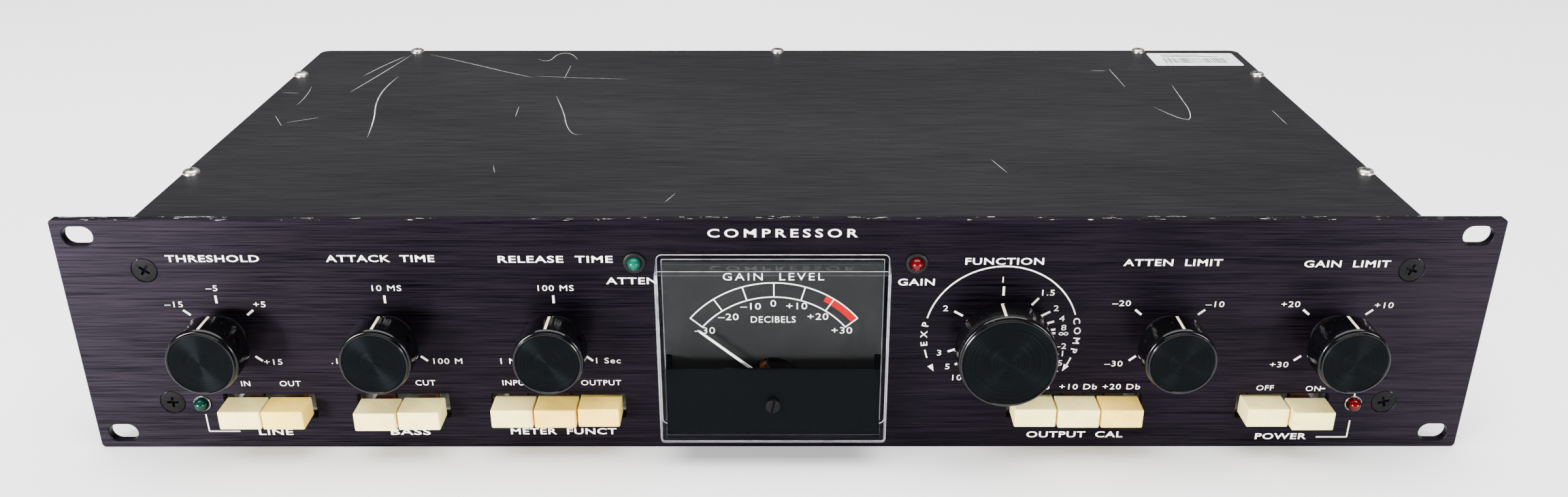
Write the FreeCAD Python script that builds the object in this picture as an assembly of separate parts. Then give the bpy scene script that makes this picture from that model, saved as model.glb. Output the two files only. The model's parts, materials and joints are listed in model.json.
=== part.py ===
import FreeCAD
import Part
import math
import os

os.makedirs("parts", exist_ok=True)

# A two-unit, 19 inch rack dynamics processor, as an assembly of separate pieces.
# Millimetres. +X right and +Z up as seen from the front, +Y from the front to the rear.
# The origin is the centre of the four rack slots, on the front panel's back face.

V = FreeCAD.Vector

# ---------- front panel and case ----------
PANEL_W = 482.6
PANEL_H = 88.1
PANEL_T = 3.2
PANEL_CORNER_R = 1.5
SLOT_PITCH_X = 465.1
SLOT_PITCH_Z = 76.2
SLOT_L = 10.3
SLOT_W = 6.9

CASE_W = 431.8
CASE_H = 84.9
CASE_D = 205.2
SIDE_T = 6.35
REAR_T = 5.0
COVER_T = 1.6
COVER_CORNER_R = 4.0
FIT = 0.05                     # radial play of fixed screws, bushings and posts in their holes

FACE = -PANEL_T                # Y of the panel's front face
SIDE_X = CASE_W / 2 - SIDE_T / 2
INNER_X = CASE_W / 2 - SIDE_T
INNER_Z = CASE_H / 2 - COVER_T
REAR_Y = CASE_D - REAR_T / 2
REAR_IN = CASE_D - REAR_T

# ---------- fasteners ----------
PANEL_SCREW_Z = 25.6
PANEL_SCREW_HEAD_R = 4.2
PANEL_SCREW_R = 2.0
PANEL_SCREW_L = 14.0
CASE_SCREW_HEAD_R = 3.1
CASE_SCREW_HEAD_H = (PANEL_H - CASE_H) / 2
CASE_SCREW_R = 1.4
CASE_SCREW_L = 8.0
CASE_SCREW_SIDE_Y = (43.8, 164.8)
CASE_SCREW_REAR_X = (-170.5, -1.0, 169.0)
SIDE_SCREW_Z = (-22.0, 22.0)

# ---------- rotary controls ----------
KNOB_Z = 0.75
KNOB_PITCH_X = 57.15
KNOB_FIRST_X = 76.2
KNOB_BACK = FACE - 8.0         # Y of a knob's back face
KNOB_TIP = FACE - 20.2         # Y of the ring round a knob's disc
KNOB_R = 11.9
FUNCTION_KNOB_R = 16.7
SHAFT_R = 3.175
SHAFT_PLAY = 0.05
BUSHING_R = 4.75
BUSHING_TIP = FACE - 6.4
NUT_FLATS = 12.7
NUT_T = 2.2
WASHER_R = 8.0
WASHER_T = 0.8
POT_R = 12.0
POT_L = 13.0
KNOBS = {
    # name: (x, body radius, pointer angle in degrees clockwise from straight up)
    "threshold": (-KNOB_FIRST_X - 2 * KNOB_PITCH_X, KNOB_R, 2.0),
    "attack": (-KNOB_FIRST_X - KNOB_PITCH_X, KNOB_R, 0.5),
    "release": (-KNOB_FIRST_X, KNOB_R, -1.0),
    "function": (KNOB_FIRST_X, FUNCTION_KNOB_R, -6.0),
    "atten_limit": (KNOB_FIRST_X + KNOB_PITCH_X, KNOB_R, -1.5),
    "gain_limit": (KNOB_FIRST_X + 2 * KNOB_PITCH_X, KNOB_R, -1.5),
}

# ---------- push buttons ----------
CAP_W = 14.4
CAP_H = 7.1
CAP_L = 10.5
CAP_PITCH = 15.0
CAP_Z = -27.1
CAP_ROUND = 0.5
BUTTON_GAP = 1.3               # round a bank of caps, in the panel's opening
PLUNGER_W = 6.4
PLUNGER_H = 4.4
PLUNGER_SOCKET = 5.0           # how far a plunger reaches into its cap
PLUNGER_END = 24.0             # Y of a plunger's rear end
PLUNGER_PLAY = 0.35
SWITCH_FACE = 4.0              # Y of a switch housing's front
SWITCH_STRIP_T = 1.2
SWITCH_W = 11.0
SWITCH_H = 11.4
SWITCH_L = 32.0
BANKS = {
    # bank: (centre x, ((button name, front face ahead of the panel), ...))
    "line": (-178.5, (("line_in", 10.1), ("line_out", 10.1))),
    "bass": (-131.5, (("bass_normal", 11.1), ("bass_cut", 10.5))),
    "meter": (-77.2, (("meter_input", 9.1), ("meter_gain", 9.1), ("meter_output", 8.4))),
    "cal": (103.9, (("cal_zero", 8.6), ("cal_ten", 9.2), ("cal_twenty", 9.2))),
    "power": (177.0, (("power_off", 8.6), ("power_on", 10.9))),
}

# ---------- lamps ----------
LED_R = 2.5
LED_DOME_Y = FACE - 1.0
LED_FLANGE_Y = FACE + 0.4
LED_FLANGE_T = 1.0
CLIP_R = 3.75
RING_R = 3.0
LED_SPOTS = {
    # lamp: (x, z, colour, radius of its clip or ring)
    "atten": (-48.2, 28.5, "green", CLIP_R),
    "gain": (46.4, 28.3, "red", CLIP_R),
    "line": (-202.4, -25.9, "green", RING_R),
    "power": (202.0, -26.1, "red", RING_R),
}

# ---------- meter ----------
METER_X = -1.8
METER_W = 78.4
METER_H = 65.8
METER_Z = -1.35
METER_PROUD = 14.0
METER_DRAFT = 0.5
METER_WALL = 2.0
METER_CORNER_R = 2.0
METER_CAN_R = 28.0
METER_CAN_L = 30.0
PIVOT_Z = -16.05
WINDOW_SILL_Z = -5.75          # top edge of the black mask inside the cover
ZERO_SCREW_Z = -18.85
ZERO_SCREW_R = 2.5
ZERO_SCREW_PLAY = 0.08
NEEDLE_REST = -52.0
NEEDLE_L = 33.5
COIL_ANGLE = -26.0
COIL_R = 8.2
DIAL_CUT_R = 9.4

# ---------- rear connectors ----------
SOCKET_Z = 8.0
INPUT_X = -165.0
OUTPUT_X = -120.0
STRIP_X = -45.0
FUSE_X = 95.0
INLET_X = 150.0


# ---------- solid makers ----------
def box(x0, x1, y0, y1, z0, z1):
    return Part.makeBox(x1 - x0, y1 - y0, z1 - z0, V(x0, y0, z0))


def block(cx, cy, cz, sx, sy, sz):
    return Part.makeBox(sx, sy, sz, V(cx - sx / 2, cy - sy / 2, cz - sz / 2))


def rod_y(x, z, radius, y0, y1):
    return Part.makeCylinder(radius, y1 - y0, V(x, y0, z), V(0, 1, 0))


def rod_z(x, y, radius, z0, z1):
    return Part.makeCylinder(radius, z1 - z0, V(x, y, z0), V(0, 0, 1))


def rod_x(y, z, radius, x0, x1):
    return Part.makeCylinder(radius, x1 - x0, V(x0, y, z), V(1, 0, 0))


def cut_all(shape, tools):
    for tool in tools:
        shape = shape.cut(tool)
    return shape


def fuse_all(shapes):
    whole = shapes[0]
    for shape in shapes[1:]:
        whole = whole.fuse(shape)
    return whole.removeSplitter()


def polygon_y(points, y0, y1):
    """Extrude an outline of (x, z) points from y0 to y1."""
    corners = [V(x, y0, z) for x, z in points]
    face = Part.Face(Part.makePolygon(corners + [corners[0]]))
    return face.extrude(V(0, y1 - y0, 0))


def rounded_wire_y(cx, cz, width, height, radius, y):
    """Rounded rectangle across X and Z at one y."""
    edges = []
    for sx, sz, start in ((1, 1, 0), (-1, 1, 90), (-1, -1, 180), (1, -1, 270)):
        middle = V(cx + sx * (width / 2 - radius), y, cz + sz * (height / 2 - radius))
        spots = []
        for turn in (start, start + 45, start + 90):
            a = math.radians(turn)
            spots.append(middle + V(radius * math.cos(a), 0, radius * math.sin(a)))
        edges.append(spots)
    outline = []
    for here, following in zip(edges, edges[1:] + edges[:1]):
        outline.append(Part.Arc(*here).toShape())
        outline.append(Part.LineSegment(here[2], following[0]).toShape())
    return Part.Wire(outline)


def rounded_plate_y(cx, cz, width, height, radius, y0, y1):
    face = Part.Face(rounded_wire_y(cx, cz, width, height, radius, y0))
    return face.extrude(V(0, y1 - y0, 0))


def slot_y(cx, cz, length, width, y0, y1):
    """Round-ended slot along X, cut through along Y."""
    half = (length - width) / 2
    return fuse_all([
        block(cx, (y0 + y1) / 2, cz, 2 * half, y1 - y0, width),
        rod_y(cx - half, cz, width / 2, y0, y1),
        rod_y(cx + half, cz, width / 2, y0, y1),
    ])


def turned_y(x, z, profile):
    """Turn (radius, y) points about the Y axis through x, z."""
    corners = [V(x + r, y, z) for r, y in profile]
    face = Part.Face(Part.makePolygon(corners + [corners[0]]))
    return face.revolve(V(x, 0, z), V(0, 1, 0), 360)


def hexagon_y(x, z, flats, y0, y1):
    corner = flats / math.sqrt(3)
    points = []
    for side in range(6):
        a = math.radians(60 * side)
        points.append((x + corner * math.cos(a), z + corner * math.sin(a)))
    return polygon_y(points, y0, y1)


def turn_about(shape, x, z, degrees):
    """Turn clockwise, as seen from the front, about the Y axis through x, z."""
    turned = shape.copy()
    turned.rotate(V(x, 0, z), V(0, 1, 0), degrees)
    return turned


def bent_tube(points, radius, bend):
    """Round tube along straight runs joined by tangent arcs."""
    edges = []
    here = points[0]
    for before, corner, after in zip(points, points[1:], points[2:]):
        way_in = (corner - before).normalize()
        way_out = (after - corner).normalize()
        turn = way_in.getAngle(way_out)
        reach = bend * math.tan(turn / 2)
        start = corner - way_in * reach
        end = corner + way_out * reach
        inward = (way_out - way_in).normalize()
        middle = corner + inward * (bend / math.cos(turn / 2) - bend)
        edges.append(Part.LineSegment(here, start).toShape())
        edges.append(Part.Arc(start, middle, end).toShape())
        here = end
    edges.append(Part.LineSegment(here, points[-1]).toShape())
    path = Part.Wire(edges)
    ring = Part.Wire([Part.Circle(points[0], points[1] - points[0], radius).toShape()])
    return path.makePipeShell([ring], True, False)


def save(name, solids):
    """Write one node; a node may hold several separate solids."""
    pieces = []
    for shape in solids:
        pieces.extend(shape.Solids)
    shape = pieces[0] if len(pieces) == 1 else Part.makeCompound(pieces)
    shape.exportStep("parts/" + name + ".step")


# ---------- front panel ----------
def bank_caps(bank):
    """Centre x of each cap in a bank."""
    centre, caps = BANKS[bank]
    first = centre - CAP_PITCH * (len(caps) - 1) / 2
    return [first + CAP_PITCH * i for i in range(len(caps))]


def bank_width(bank):
    return CAP_PITCH * (len(BANKS[bank][1]) - 1) + CAP_W


def corners_of(x, z):
    return [(sx * x, sz * z) for sx in (-1, 1) for sz in (-1, 1)]


def countersunk_y(x, z, head_r, shank_r, depth, length, play):
    """Flush countersunk head at the panel's face, with its shank behind it."""
    cone_h = head_r - shank_r
    return turned_y(x, z, (
        (0, FACE),
        (head_r + play, FACE),
        (head_r + play, FACE + depth),
        (shank_r + play, FACE + depth + cone_h),
        (shank_r + play, FACE + length),
        (0, FACE + length),
    ))


def front_panel():
    panel = rounded_plate_y(0, 0, PANEL_W, PANEL_H, PANEL_CORNER_R, FACE, 0)
    cuts = [rod_y(METER_X, METER_Z, METER_CAN_R + 0.5, FACE - 1, 1)]
    for x, z in corners_of(SLOT_PITCH_X / 2, SLOT_PITCH_Z / 2):
        cuts.append(slot_y(x, z, SLOT_L, SLOT_W, FACE - 1, 1))
    for x, z in corners_of(SIDE_X, PANEL_SCREW_Z):
        cuts.append(countersunk_y(x, z, PANEL_SCREW_HEAD_R, PANEL_SCREW_R, 0.2, 6, FIT))
    for x, radius, angle in KNOBS.values():
        cuts.append(rod_y(x, KNOB_Z, BUSHING_R + FIT, FACE - 1, 1))
    for bank, (centre, caps) in BANKS.items():
        width = bank_width(bank) + 2 * BUTTON_GAP
        height = CAP_H + 2 * BUTTON_GAP
        cuts.append(block(centre, FACE / 2, CAP_Z, width, PANEL_T + 2, height))
    for x, z, colour, ring in LED_SPOTS.values():
        cuts.append(rod_y(x, z, ring - 0.4, FACE - 1, 1))
    save("front_panel", [cut_all(panel, cuts)])


def panel_screws():
    screws = []
    for x, z in corners_of(SIDE_X, PANEL_SCREW_Z):
        screw = countersunk_y(x, z, PANEL_SCREW_HEAD_R, PANEL_SCREW_R, 0.2, PANEL_SCREW_L, 0)
        screws.append(screw.cut(cross_recess(x, FACE, z, V(0, -1, 0), 4.4, 0.9, 1.3)))
    save("panel_screws", screws)


# ---------- case ----------
def cross_recess(x, y, z, out, length, width, depth):
    """Cross-shaped driver recess at a head's face; `out` is the way the head faces."""
    if abs(out.y) > 0.5:
        first = block(x, y, z, length, 2 * depth, width)
        second = block(x, y, z, width, 2 * depth, length)
    elif abs(out.z) > 0.5:
        first = block(x, y, z, length, width, 2 * depth)
        second = block(x, y, z, width, length, 2 * depth)
    else:
        first = block(x, y, z, 2 * depth, length, width)
        second = block(x, y, z, 2 * depth, width, length)
    return first.fuse(second)


def case_screw_spots():
    spots = []
    for side in (-1, 1):
        for y in CASE_SCREW_SIDE_Y:
            spots.append((side * SIDE_X, y))
    for x in CASE_SCREW_REAR_X:
        spots.append((x, REAR_Y))
    return spots


def pan_screw(x, y, up):
    """Pan-head screw through a cover; up is +1 on the top cover and -1 on the bottom one."""
    cover_face = up * CASE_H / 2
    tip = up * (CASE_H / 2 - CASE_SCREW_L)
    shank = rod_z(x, y, CASE_SCREW_R, min(cover_face, tip), max(cover_face, tip))
    crown = up * (CASE_H / 2 + CASE_SCREW_HEAD_H)
    head = rod_z(x, y, CASE_SCREW_HEAD_R, min(cover_face, crown), max(cover_face, crown))
    rim = [e for e in head.Edges if e.BoundBox.ZLength < 0.01 and abs(e.BoundBox.ZMin - crown) < 0.01]
    head = head.makeFillet(CASE_SCREW_HEAD_H * 0.6, rim)
    recess = cross_recess(x, y, crown, V(0, 0, up), 3.4, 0.8, 1.0)
    return head.fuse(shank).cut(recess)


def cover_plate(up):
    """Flat cover with its two rear corners rounded."""
    inner, outer = sorted((up * INNER_Z, up * CASE_H / 2))
    plate = box(-CASE_W / 2, CASE_W / 2, 0, CASE_D, inner, outer)
    corners = []
    for edge in plate.Edges:
        upright = edge.BoundBox.ZLength > COVER_T / 2
        if upright and edge.BoundBox.YMin > CASE_D - 1:
            corners.append(edge)
    plate = plate.makeFillet(COVER_CORNER_R, corners)
    holes = [rod_z(x, y, CASE_SCREW_R + FIT, inner - 1, outer + 1) for x, y in case_screw_spots()]
    return cut_all(plate, holes)


def screw_holes_in_edges():
    """Tapped holes for the cover screws and panel screws."""
    holes = []
    for x, y in case_screw_spots():
        for up in (-1, 1):
            low, high = sorted((up * (INNER_Z + 1), up * (CASE_H / 2 - CASE_SCREW_L - 1)))
            holes.append(rod_z(x, y, CASE_SCREW_R + FIT, low, high))
    for x, z in corners_of(SIDE_X, PANEL_SCREW_Z):
        holes.append(rod_y(x, z, PANEL_SCREW_R + FIT, -1, FACE + PANEL_SCREW_L + 1))
    return holes


def side_screw(side, z, play):
    """Flat-head screw through a side plate into the rear panel's edge."""
    outer = CASE_W / 2
    profile = (
        (0, 0),
        (3.2 + play, 0),
        (1.6 + play, 1.6),
        (1.6 + play, 14 + play),
        (0, 14 + play),
    )
    corners = [V(side * (outer - depth), REAR_Y + r, z) for r, depth in profile]
    face = Part.Face(Part.makePolygon(corners + [corners[0]]))
    return face.revolve(V(0, REAR_Y, z), V(1, 0, 0), 360)


def case():
    holes = screw_holes_in_edges()
    side_holes = [side_screw(s, z, FIT) for s in (-1, 1) for z in SIDE_SCREW_Z]
    plates = []
    for side in (-1, 1):
        inner, outer = sorted((side * INNER_X, side * CASE_W / 2))
        plate = box(inner, outer, 0, CASE_D, -INNER_Z, INNER_Z)
        for edge in plate.Edges:
            upright = edge.Length > CASE_H / 2 and edge.BoundBox.YMin > CASE_D - 1
            if upright and edge.BoundBox.XMin * side > INNER_X + 1:
                plate = plate.makeFillet(COVER_CORNER_R, [edge])
                break
        plates.append(cut_all(plate, holes + side_holes))
    save("side_plates", plates)
    rear = box(-INNER_X, INNER_X, REAR_IN, CASE_D, -INNER_Z, INNER_Z)
    save("rear_panel", [cut_all(rear, holes + side_holes + rear_cutouts())])
    save("top_cover", [cover_plate(1)])
    save("bottom_cover", [cover_plate(-1)])
    screws = [pan_screw(x, y, up) for x, y in case_screw_spots() for up in (1, -1)]
    for side in (-1, 1):
        for z in SIDE_SCREW_Z:
            recess = cross_recess(side * CASE_W / 2, REAR_Y, z, V(1, 0, 0), 3.4, 0.8, 1.0)
            screws.append(side_screw(side, z, 0).cut(recess))
    save("case_screws", screws)


# ---------- rotary controls ----------
def knob_body(x, radius):
    """Turned body: skirt, groove and front ring, bored for the shaft and recessed for the disc."""
    ring_r = radius - 0.5
    profile = (
        (SHAFT_R, KNOB_BACK),
        (radius - 0.4, KNOB_BACK),
        (radius, KNOB_BACK - 0.5),
        (radius, KNOB_TIP + 1.9),
        (radius - 0.4, KNOB_TIP + 1.6),
        (radius - 0.7, KNOB_TIP + 1.1),
        (ring_r, KNOB_TIP + 0.8),
        (ring_r, KNOB_TIP + 0.3),
        (ring_r - 0.3, KNOB_TIP),
        (ring_r - 0.7, KNOB_TIP),
        (ring_r - 0.7, KNOB_TIP + 0.9),
        (SHAFT_R, KNOB_TIP + 0.9),
    )
    return turned_y(x, KNOB_Z, profile)


def knob(name):
    x, radius, angle = KNOBS[name]
    body = knob_body(x, radius)
    disc = rod_y(x, KNOB_Z, radius - 1.3, KNOB_TIP + 0.2, KNOB_TIP + 0.9)
    pointer = box(x - 0.45, x + 0.45, KNOB_TIP + 2.1, KNOB_BACK - 0.7,
                  KNOB_Z + radius - 0.6, KNOB_Z + radius + 1)
    pointer = pointer.common(rod_y(x, KNOB_Z, radius, KNOB_TIP, KNOB_BACK))
    pointer = turn_about(pointer, x, KNOB_Z, angle)
    screw_y = (KNOB_BACK + KNOB_TIP) / 2 + 0.6
    hole = Part.makeCylinder(1.5, radius, V(x, screw_y, KNOB_Z), V(0, 0, 1))
    grub = Part.makeCylinder(1.5, radius - SHAFT_R - 2.2, V(x, screw_y, KNOB_Z + SHAFT_R), V(0, 0, 1))
    grub = grub.cut(block(x, screw_y, KNOB_Z + radius - 2.2, 0.5, 3.2, 1.2))
    bore = rod_y(x, KNOB_Z, SHAFT_R, KNOB_TIP, KNOB_BACK + 1)
    hole = turn_about(hole, x, KNOB_Z, angle + 60)
    grub = turn_about(grub, x, KNOB_Z, angle + 60).cut(bore)
    save(name + "_knob", [body.cut(pointer).cut(hole), disc, pointer, grub])


def shaft(name):
    x, radius, angle = KNOBS[name]
    wiper_y = POT_L - 3.5
    stem = rod_y(x, KNOB_Z, SHAFT_R, KNOB_TIP + 1.2, wiper_y)
    plate = rod_y(x, KNOB_Z, SHAFT_R + 3, wiper_y - 1.5, wiper_y)
    wiper = block(x, wiper_y - 0.75, KNOB_Z + 5.5, 3, 1.5, 7)
    save(name + "_shaft", [fuse_all([stem, plate, turn_about(wiper, x, KNOB_Z, angle)])])


def potentiometers():
    bodies = []
    nuts = []
    for x, radius, angle in KNOBS.values():
        bore = SHAFT_R + SHAFT_PLAY
        can = turned_y(x, KNOB_Z, (
            (bore, BUSHING_TIP),
            (BUSHING_R - 0.4, BUSHING_TIP),
            (BUSHING_R, BUSHING_TIP + 0.4),
            (BUSHING_R, 0.8),
            (POT_R - 1, 0.8),
            (POT_R, 1.8),
            (POT_R, POT_L),
            (0, POT_L),
            (0, POT_L - 1.5),
            (POT_R - 1.5, POT_L - 1.5),
            (POT_R - 1.5, 3.5),
            (bore, 3.5),
        ))
        bodies.append(can)
        for lug in (-1, 0, 1):
            bodies.append(block(x + 5 * lug, 8, KNOB_Z - POT_R - 3, 1.6, 0.8, 8))
        washer = rod_y(x, KNOB_Z, WASHER_R, FACE - WASHER_T, FACE)
        nut = hexagon_y(x, KNOB_Z, NUT_FLATS, FACE - WASHER_T - NUT_T, FACE - WASHER_T)
        hole = rod_y(x, KNOB_Z, BUSHING_R + FIT, FACE - 10, 1)
        nuts.extend([washer.cut(hole), nut.cut(hole)])
    save("potentiometers", [fuse_all(bodies)])
    save("bushing_nuts", nuts)


# ---------- push buttons ----------
def button(name, x, proud):
    front = FACE - proud
    back = front + CAP_L
    cap = block(x, front + CAP_L / 2, CAP_Z, CAP_W, CAP_L, CAP_H)
    front_edges = [e for e in cap.Edges if e.BoundBox.YMax < front + 0.01]
    side_edges = [e for e in cap.Edges if e.BoundBox.YLength > CAP_L - 1]
    cap = cap.makeFillet(CAP_ROUND, front_edges + side_edges)
    plunger = box(x - PLUNGER_W / 2, x + PLUNGER_W / 2, back - PLUNGER_SOCKET, PLUNGER_END,
                  CAP_Z - PLUNGER_H / 2, CAP_Z + PLUNGER_H / 2)
    save(name + "_button", [cap.cut(plunger), plunger])


def switch_frame(bank, well_w, well_h):
    """Steel strip on two posts behind the panel, with a window for each plunger."""
    centre = BANKS[bank][0]
    half = bank_width(bank) / 2 + 6
    rear = SWITCH_FACE - SWITCH_STRIP_T
    strip = box(centre - half, centre + half, rear, SWITCH_FACE, CAP_Z - 6.5, CAP_Z + 6.5)
    windows = [block(x, SWITCH_FACE, CAP_Z, well_w, 4, well_h) for x in bank_caps(bank)]
    posts = [rod_y(centre + side * (half - 3), CAP_Z, 2.5, 0, rear) for side in (-1, 1)]
    return fuse_all([cut_all(strip, windows)] + posts)


def switch(x, well_w, well_h):
    """Switch housing with its plunger's well, and two rows of four pins on top."""
    housing = block(x, SWITCH_FACE + SWITCH_L / 2, CAP_Z, SWITCH_W, SWITCH_L, SWITCH_H)
    well = block(x, SWITCH_FACE + (SWITCH_L - 4) / 2, CAP_Z, well_w, SWITCH_L - 2, well_h)
    solids = [housing.cut(well)]
    for row in (-1, 1):
        for pin in range(4):
            pin_y = SWITCH_FACE + 5 + 7 * pin
            solids.append(block(x + 2.6 * row, pin_y, CAP_Z + SWITCH_H / 2 + 1.5, 0.8, 0.8, 3))
    return solids


def switch_banks():
    well_w = PLUNGER_W + 2 * PLUNGER_PLAY
    well_h = PLUNGER_H + 2 * PLUNGER_PLAY
    solids = []
    for bank in BANKS:
        solids.append(switch_frame(bank, well_w, well_h))
        for x in bank_caps(bank):
            solids.extend(switch(x, well_w, well_h))
    save("switch_banks", solids)


# ---------- lamps ----------
def lamp(x, z, ring):
    """Domed lamp with a flange behind the panel's face and two leads."""
    barrel = rod_y(x, z, LED_R, LED_DOME_Y, LED_FLANGE_Y + LED_FLANGE_T)
    dome_space = block(x, LED_DOME_Y - LED_R, z, 3 * LED_R, 2 * LED_R, 3 * LED_R)
    dome = Part.makeSphere(LED_R, V(x, LED_DOME_Y, z)).common(dome_space)
    flange_end = LED_FLANGE_Y + LED_FLANGE_T
    flange = rod_y(x, z, ring - 0.9, LED_FLANGE_Y, flange_end)
    leads = [rod_y(x + 1.27 * side, z, 0.3, flange_end, 14) for side in (-1, 1)]
    return [fuse_all([barrel, dome, flange])] + leads


def plastic_clip(x, z, ring):
    """Collar whose sleeve runs through the panel and holds the lamp's flange."""
    sleeve = ring - 0.4 - FIT
    inside = ring - 0.9 + FIT
    return turned_y(x, z, (
        (LED_R + FIT, FACE - 0.9),
        (ring - 0.3, FACE - 0.9),
        (ring, FACE - 0.5),
        (ring, FACE),
        (sleeve, FACE),
        (sleeve, FACE + 1.6),
        (inside, FACE + 1.6),
        (inside, LED_FLANGE_Y - FIT),
        (LED_R + FIT, LED_FLANGE_Y - FIT),
    ))


def bright_ring(x, z, ring):
    return turned_y(x, z, (
        (LED_R + FIT, FACE - 0.5),
        (ring - 0.2, FACE - 0.5),
        (ring, FACE - 0.3),
        (ring, FACE),
        (LED_R + FIT, FACE),
    ))


def lamps():
    solids = {"green": [], "red": []}
    collars = []
    for x, z, colour, ring in LED_SPOTS.values():
        solids[colour].extend(lamp(x, z, ring))
        collar = plastic_clip if ring == CLIP_R else bright_ring
        collars.append(collar(x, z, ring))
    save("green_lamps", solids["green"])
    save("red_lamps", solids["red"])
    save("lamp_rings", collars)


# ---------- meter ----------
def meter_case():
    inner_w = METER_W - 2 * METER_WALL - 0.6
    inner_h = METER_H - 2 * METER_WALL - 0.6
    flange = rounded_plate_y(METER_X, METER_Z, inner_w, inner_h, 1.5, FACE - 1.2, FACE)
    can = rod_y(METER_X, METER_Z, METER_CAN_R, FACE, METER_CAN_L)
    hollow = rod_y(METER_X, METER_Z, METER_CAN_R - 1.5, FACE - 2, METER_CAN_L - 2)
    mouth = box(METER_X - 30, METER_X + 30, FACE - 2, FACE, -10, 30)
    base = flange.fuse(can).cut(hollow.cut(mouth))
    base = base.cut(rod_y(METER_X, PIVOT_Z, DIAL_CUT_R + 0.6, FACE - 2, FACE + 1))
    studs = []
    for side in (-1, 1):
        studs.append(rod_y(METER_X + side * 14, METER_Z, 2.0, METER_CAN_L, METER_CAN_L + 9))
    save("meter_case", [base] + studs)


def meter_block(inset, radius, rear, front):
    """Drafted, rounded block that follows the meter cover's sides at one inset."""
    wires = []
    for y, draft in ((rear, 0), (front, METER_DRAFT)):
        trim = 2 * (inset + draft)
        wires.append(rounded_wire_y(METER_X, METER_Z, METER_W - trim, METER_H - trim, radius, y))
    return Part.makeLoft(wires, True, True)


def meter_cover():
    front = FACE - METER_PROUD
    outer = meter_block(0, METER_CORNER_R, FACE, front)
    hollow = meter_block(METER_WALL, METER_CORNER_R / 2, FACE + 0.01, front + METER_WALL)
    hole = rod_y(METER_X, ZERO_SCREW_Z, ZERO_SCREW_R + ZERO_SCREW_PLAY, front - 1, front + METER_WALL + 1)
    save("meter_cover", [outer.cut(hollow).cut(hole)])


def meter_mask():
    """Black mask inside the lower half of the cover: a front plate with two side returns and a floor."""
    front = FACE - METER_PROUD + METER_WALL + 0.1
    half = METER_W / 2 - METER_WALL - METER_DRAFT - 0.4
    floor = METER_Z - METER_H / 2 + METER_WALL + METER_DRAFT + 0.4
    rear = FACE - 1.4
    whole = box(METER_X - half, METER_X + half, front, rear, floor, WINDOW_SILL_Z)
    inside = box(METER_X - half + 1, METER_X + half - 1, front + 1.2, rear + 1, floor + 1, WINDOW_SILL_Z + 1)
    hole = rod_y(METER_X, ZERO_SCREW_Z, 1.6, front - 1, front + 3)
    save("meter_mask", [whole.cut(inside).cut(hole)])


def meter_dial():
    half = METER_W / 2 - METER_WALL - METER_DRAFT - 1.8
    top = METER_Z + METER_H / 2 - METER_WALL - METER_DRAFT - 0.6
    plate = box(METER_X - half, METER_X + half, FACE - 1.8, FACE - 1.2, PIVOT_Z - 4, top)
    plate = plate.cut(rod_y(METER_X, PIVOT_Z, DIAL_CUT_R, FACE - 3, FACE))
    save("meter_dial", [plate.cut(block(METER_X, FACE - 1.5, PIVOT_Z, 24, 2, 4))])


def meter_movement():
    """Fixed magnet, core and front bridge of the moving-coil movement."""
    core = rod_y(METER_X, PIVOT_Z, 6.4, -2.4, 8.6).cut(rod_y(METER_X, PIVOT_Z, 1.2, -5, 12))
    magnet = rod_y(METER_X, PIVOT_Z, 11.4, -2.4, 8.6).cut(rod_y(METER_X, PIVOT_Z, 9.2, -5, 12))
    web = box(METER_X - 1.2, METER_X + 1.2, 11.4, 13.4, PIVOT_Z - 11, PIVOT_Z + 11)
    posts = []
    for side in (-1, 1):
        posts.append(rod_y(METER_X, PIVOT_Z + side * 10.2, 0.9, 8.6, 11.4))
    yoke = fuse_all([web] + posts + [magnet])
    yoke = yoke.cut(rod_y(METER_X, PIVOT_Z, 0.7, 9, 14))
    bridge = box(METER_X - 10.5, METER_X + 10.5, FACE - 7.8, FACE - 6.8, PIVOT_Z - 1.5, PIVOT_Z + 1.5)
    legs = []
    for side in (-1, 1):
        x = METER_X + side * 10.5
        legs.append(box(x - 1, x + 1, FACE - 7.8, -2.4, PIVOT_Z - 1.5, PIVOT_Z + 1.5))
    arm = box(METER_X - 0.5, METER_X + 0.5, FACE - 7.6, FACE - 7.0, PIVOT_Z, PIVOT_Z + 7.5)
    arm = turn_about(arm, METER_X, PIVOT_Z, 38)
    frame = fuse_all([bridge] + legs + [arm]).cut(rod_y(METER_X, PIVOT_Z, 0.7, FACE - 9, FACE - 6))
    save("meter_magnet", [core, yoke, frame])


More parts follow.
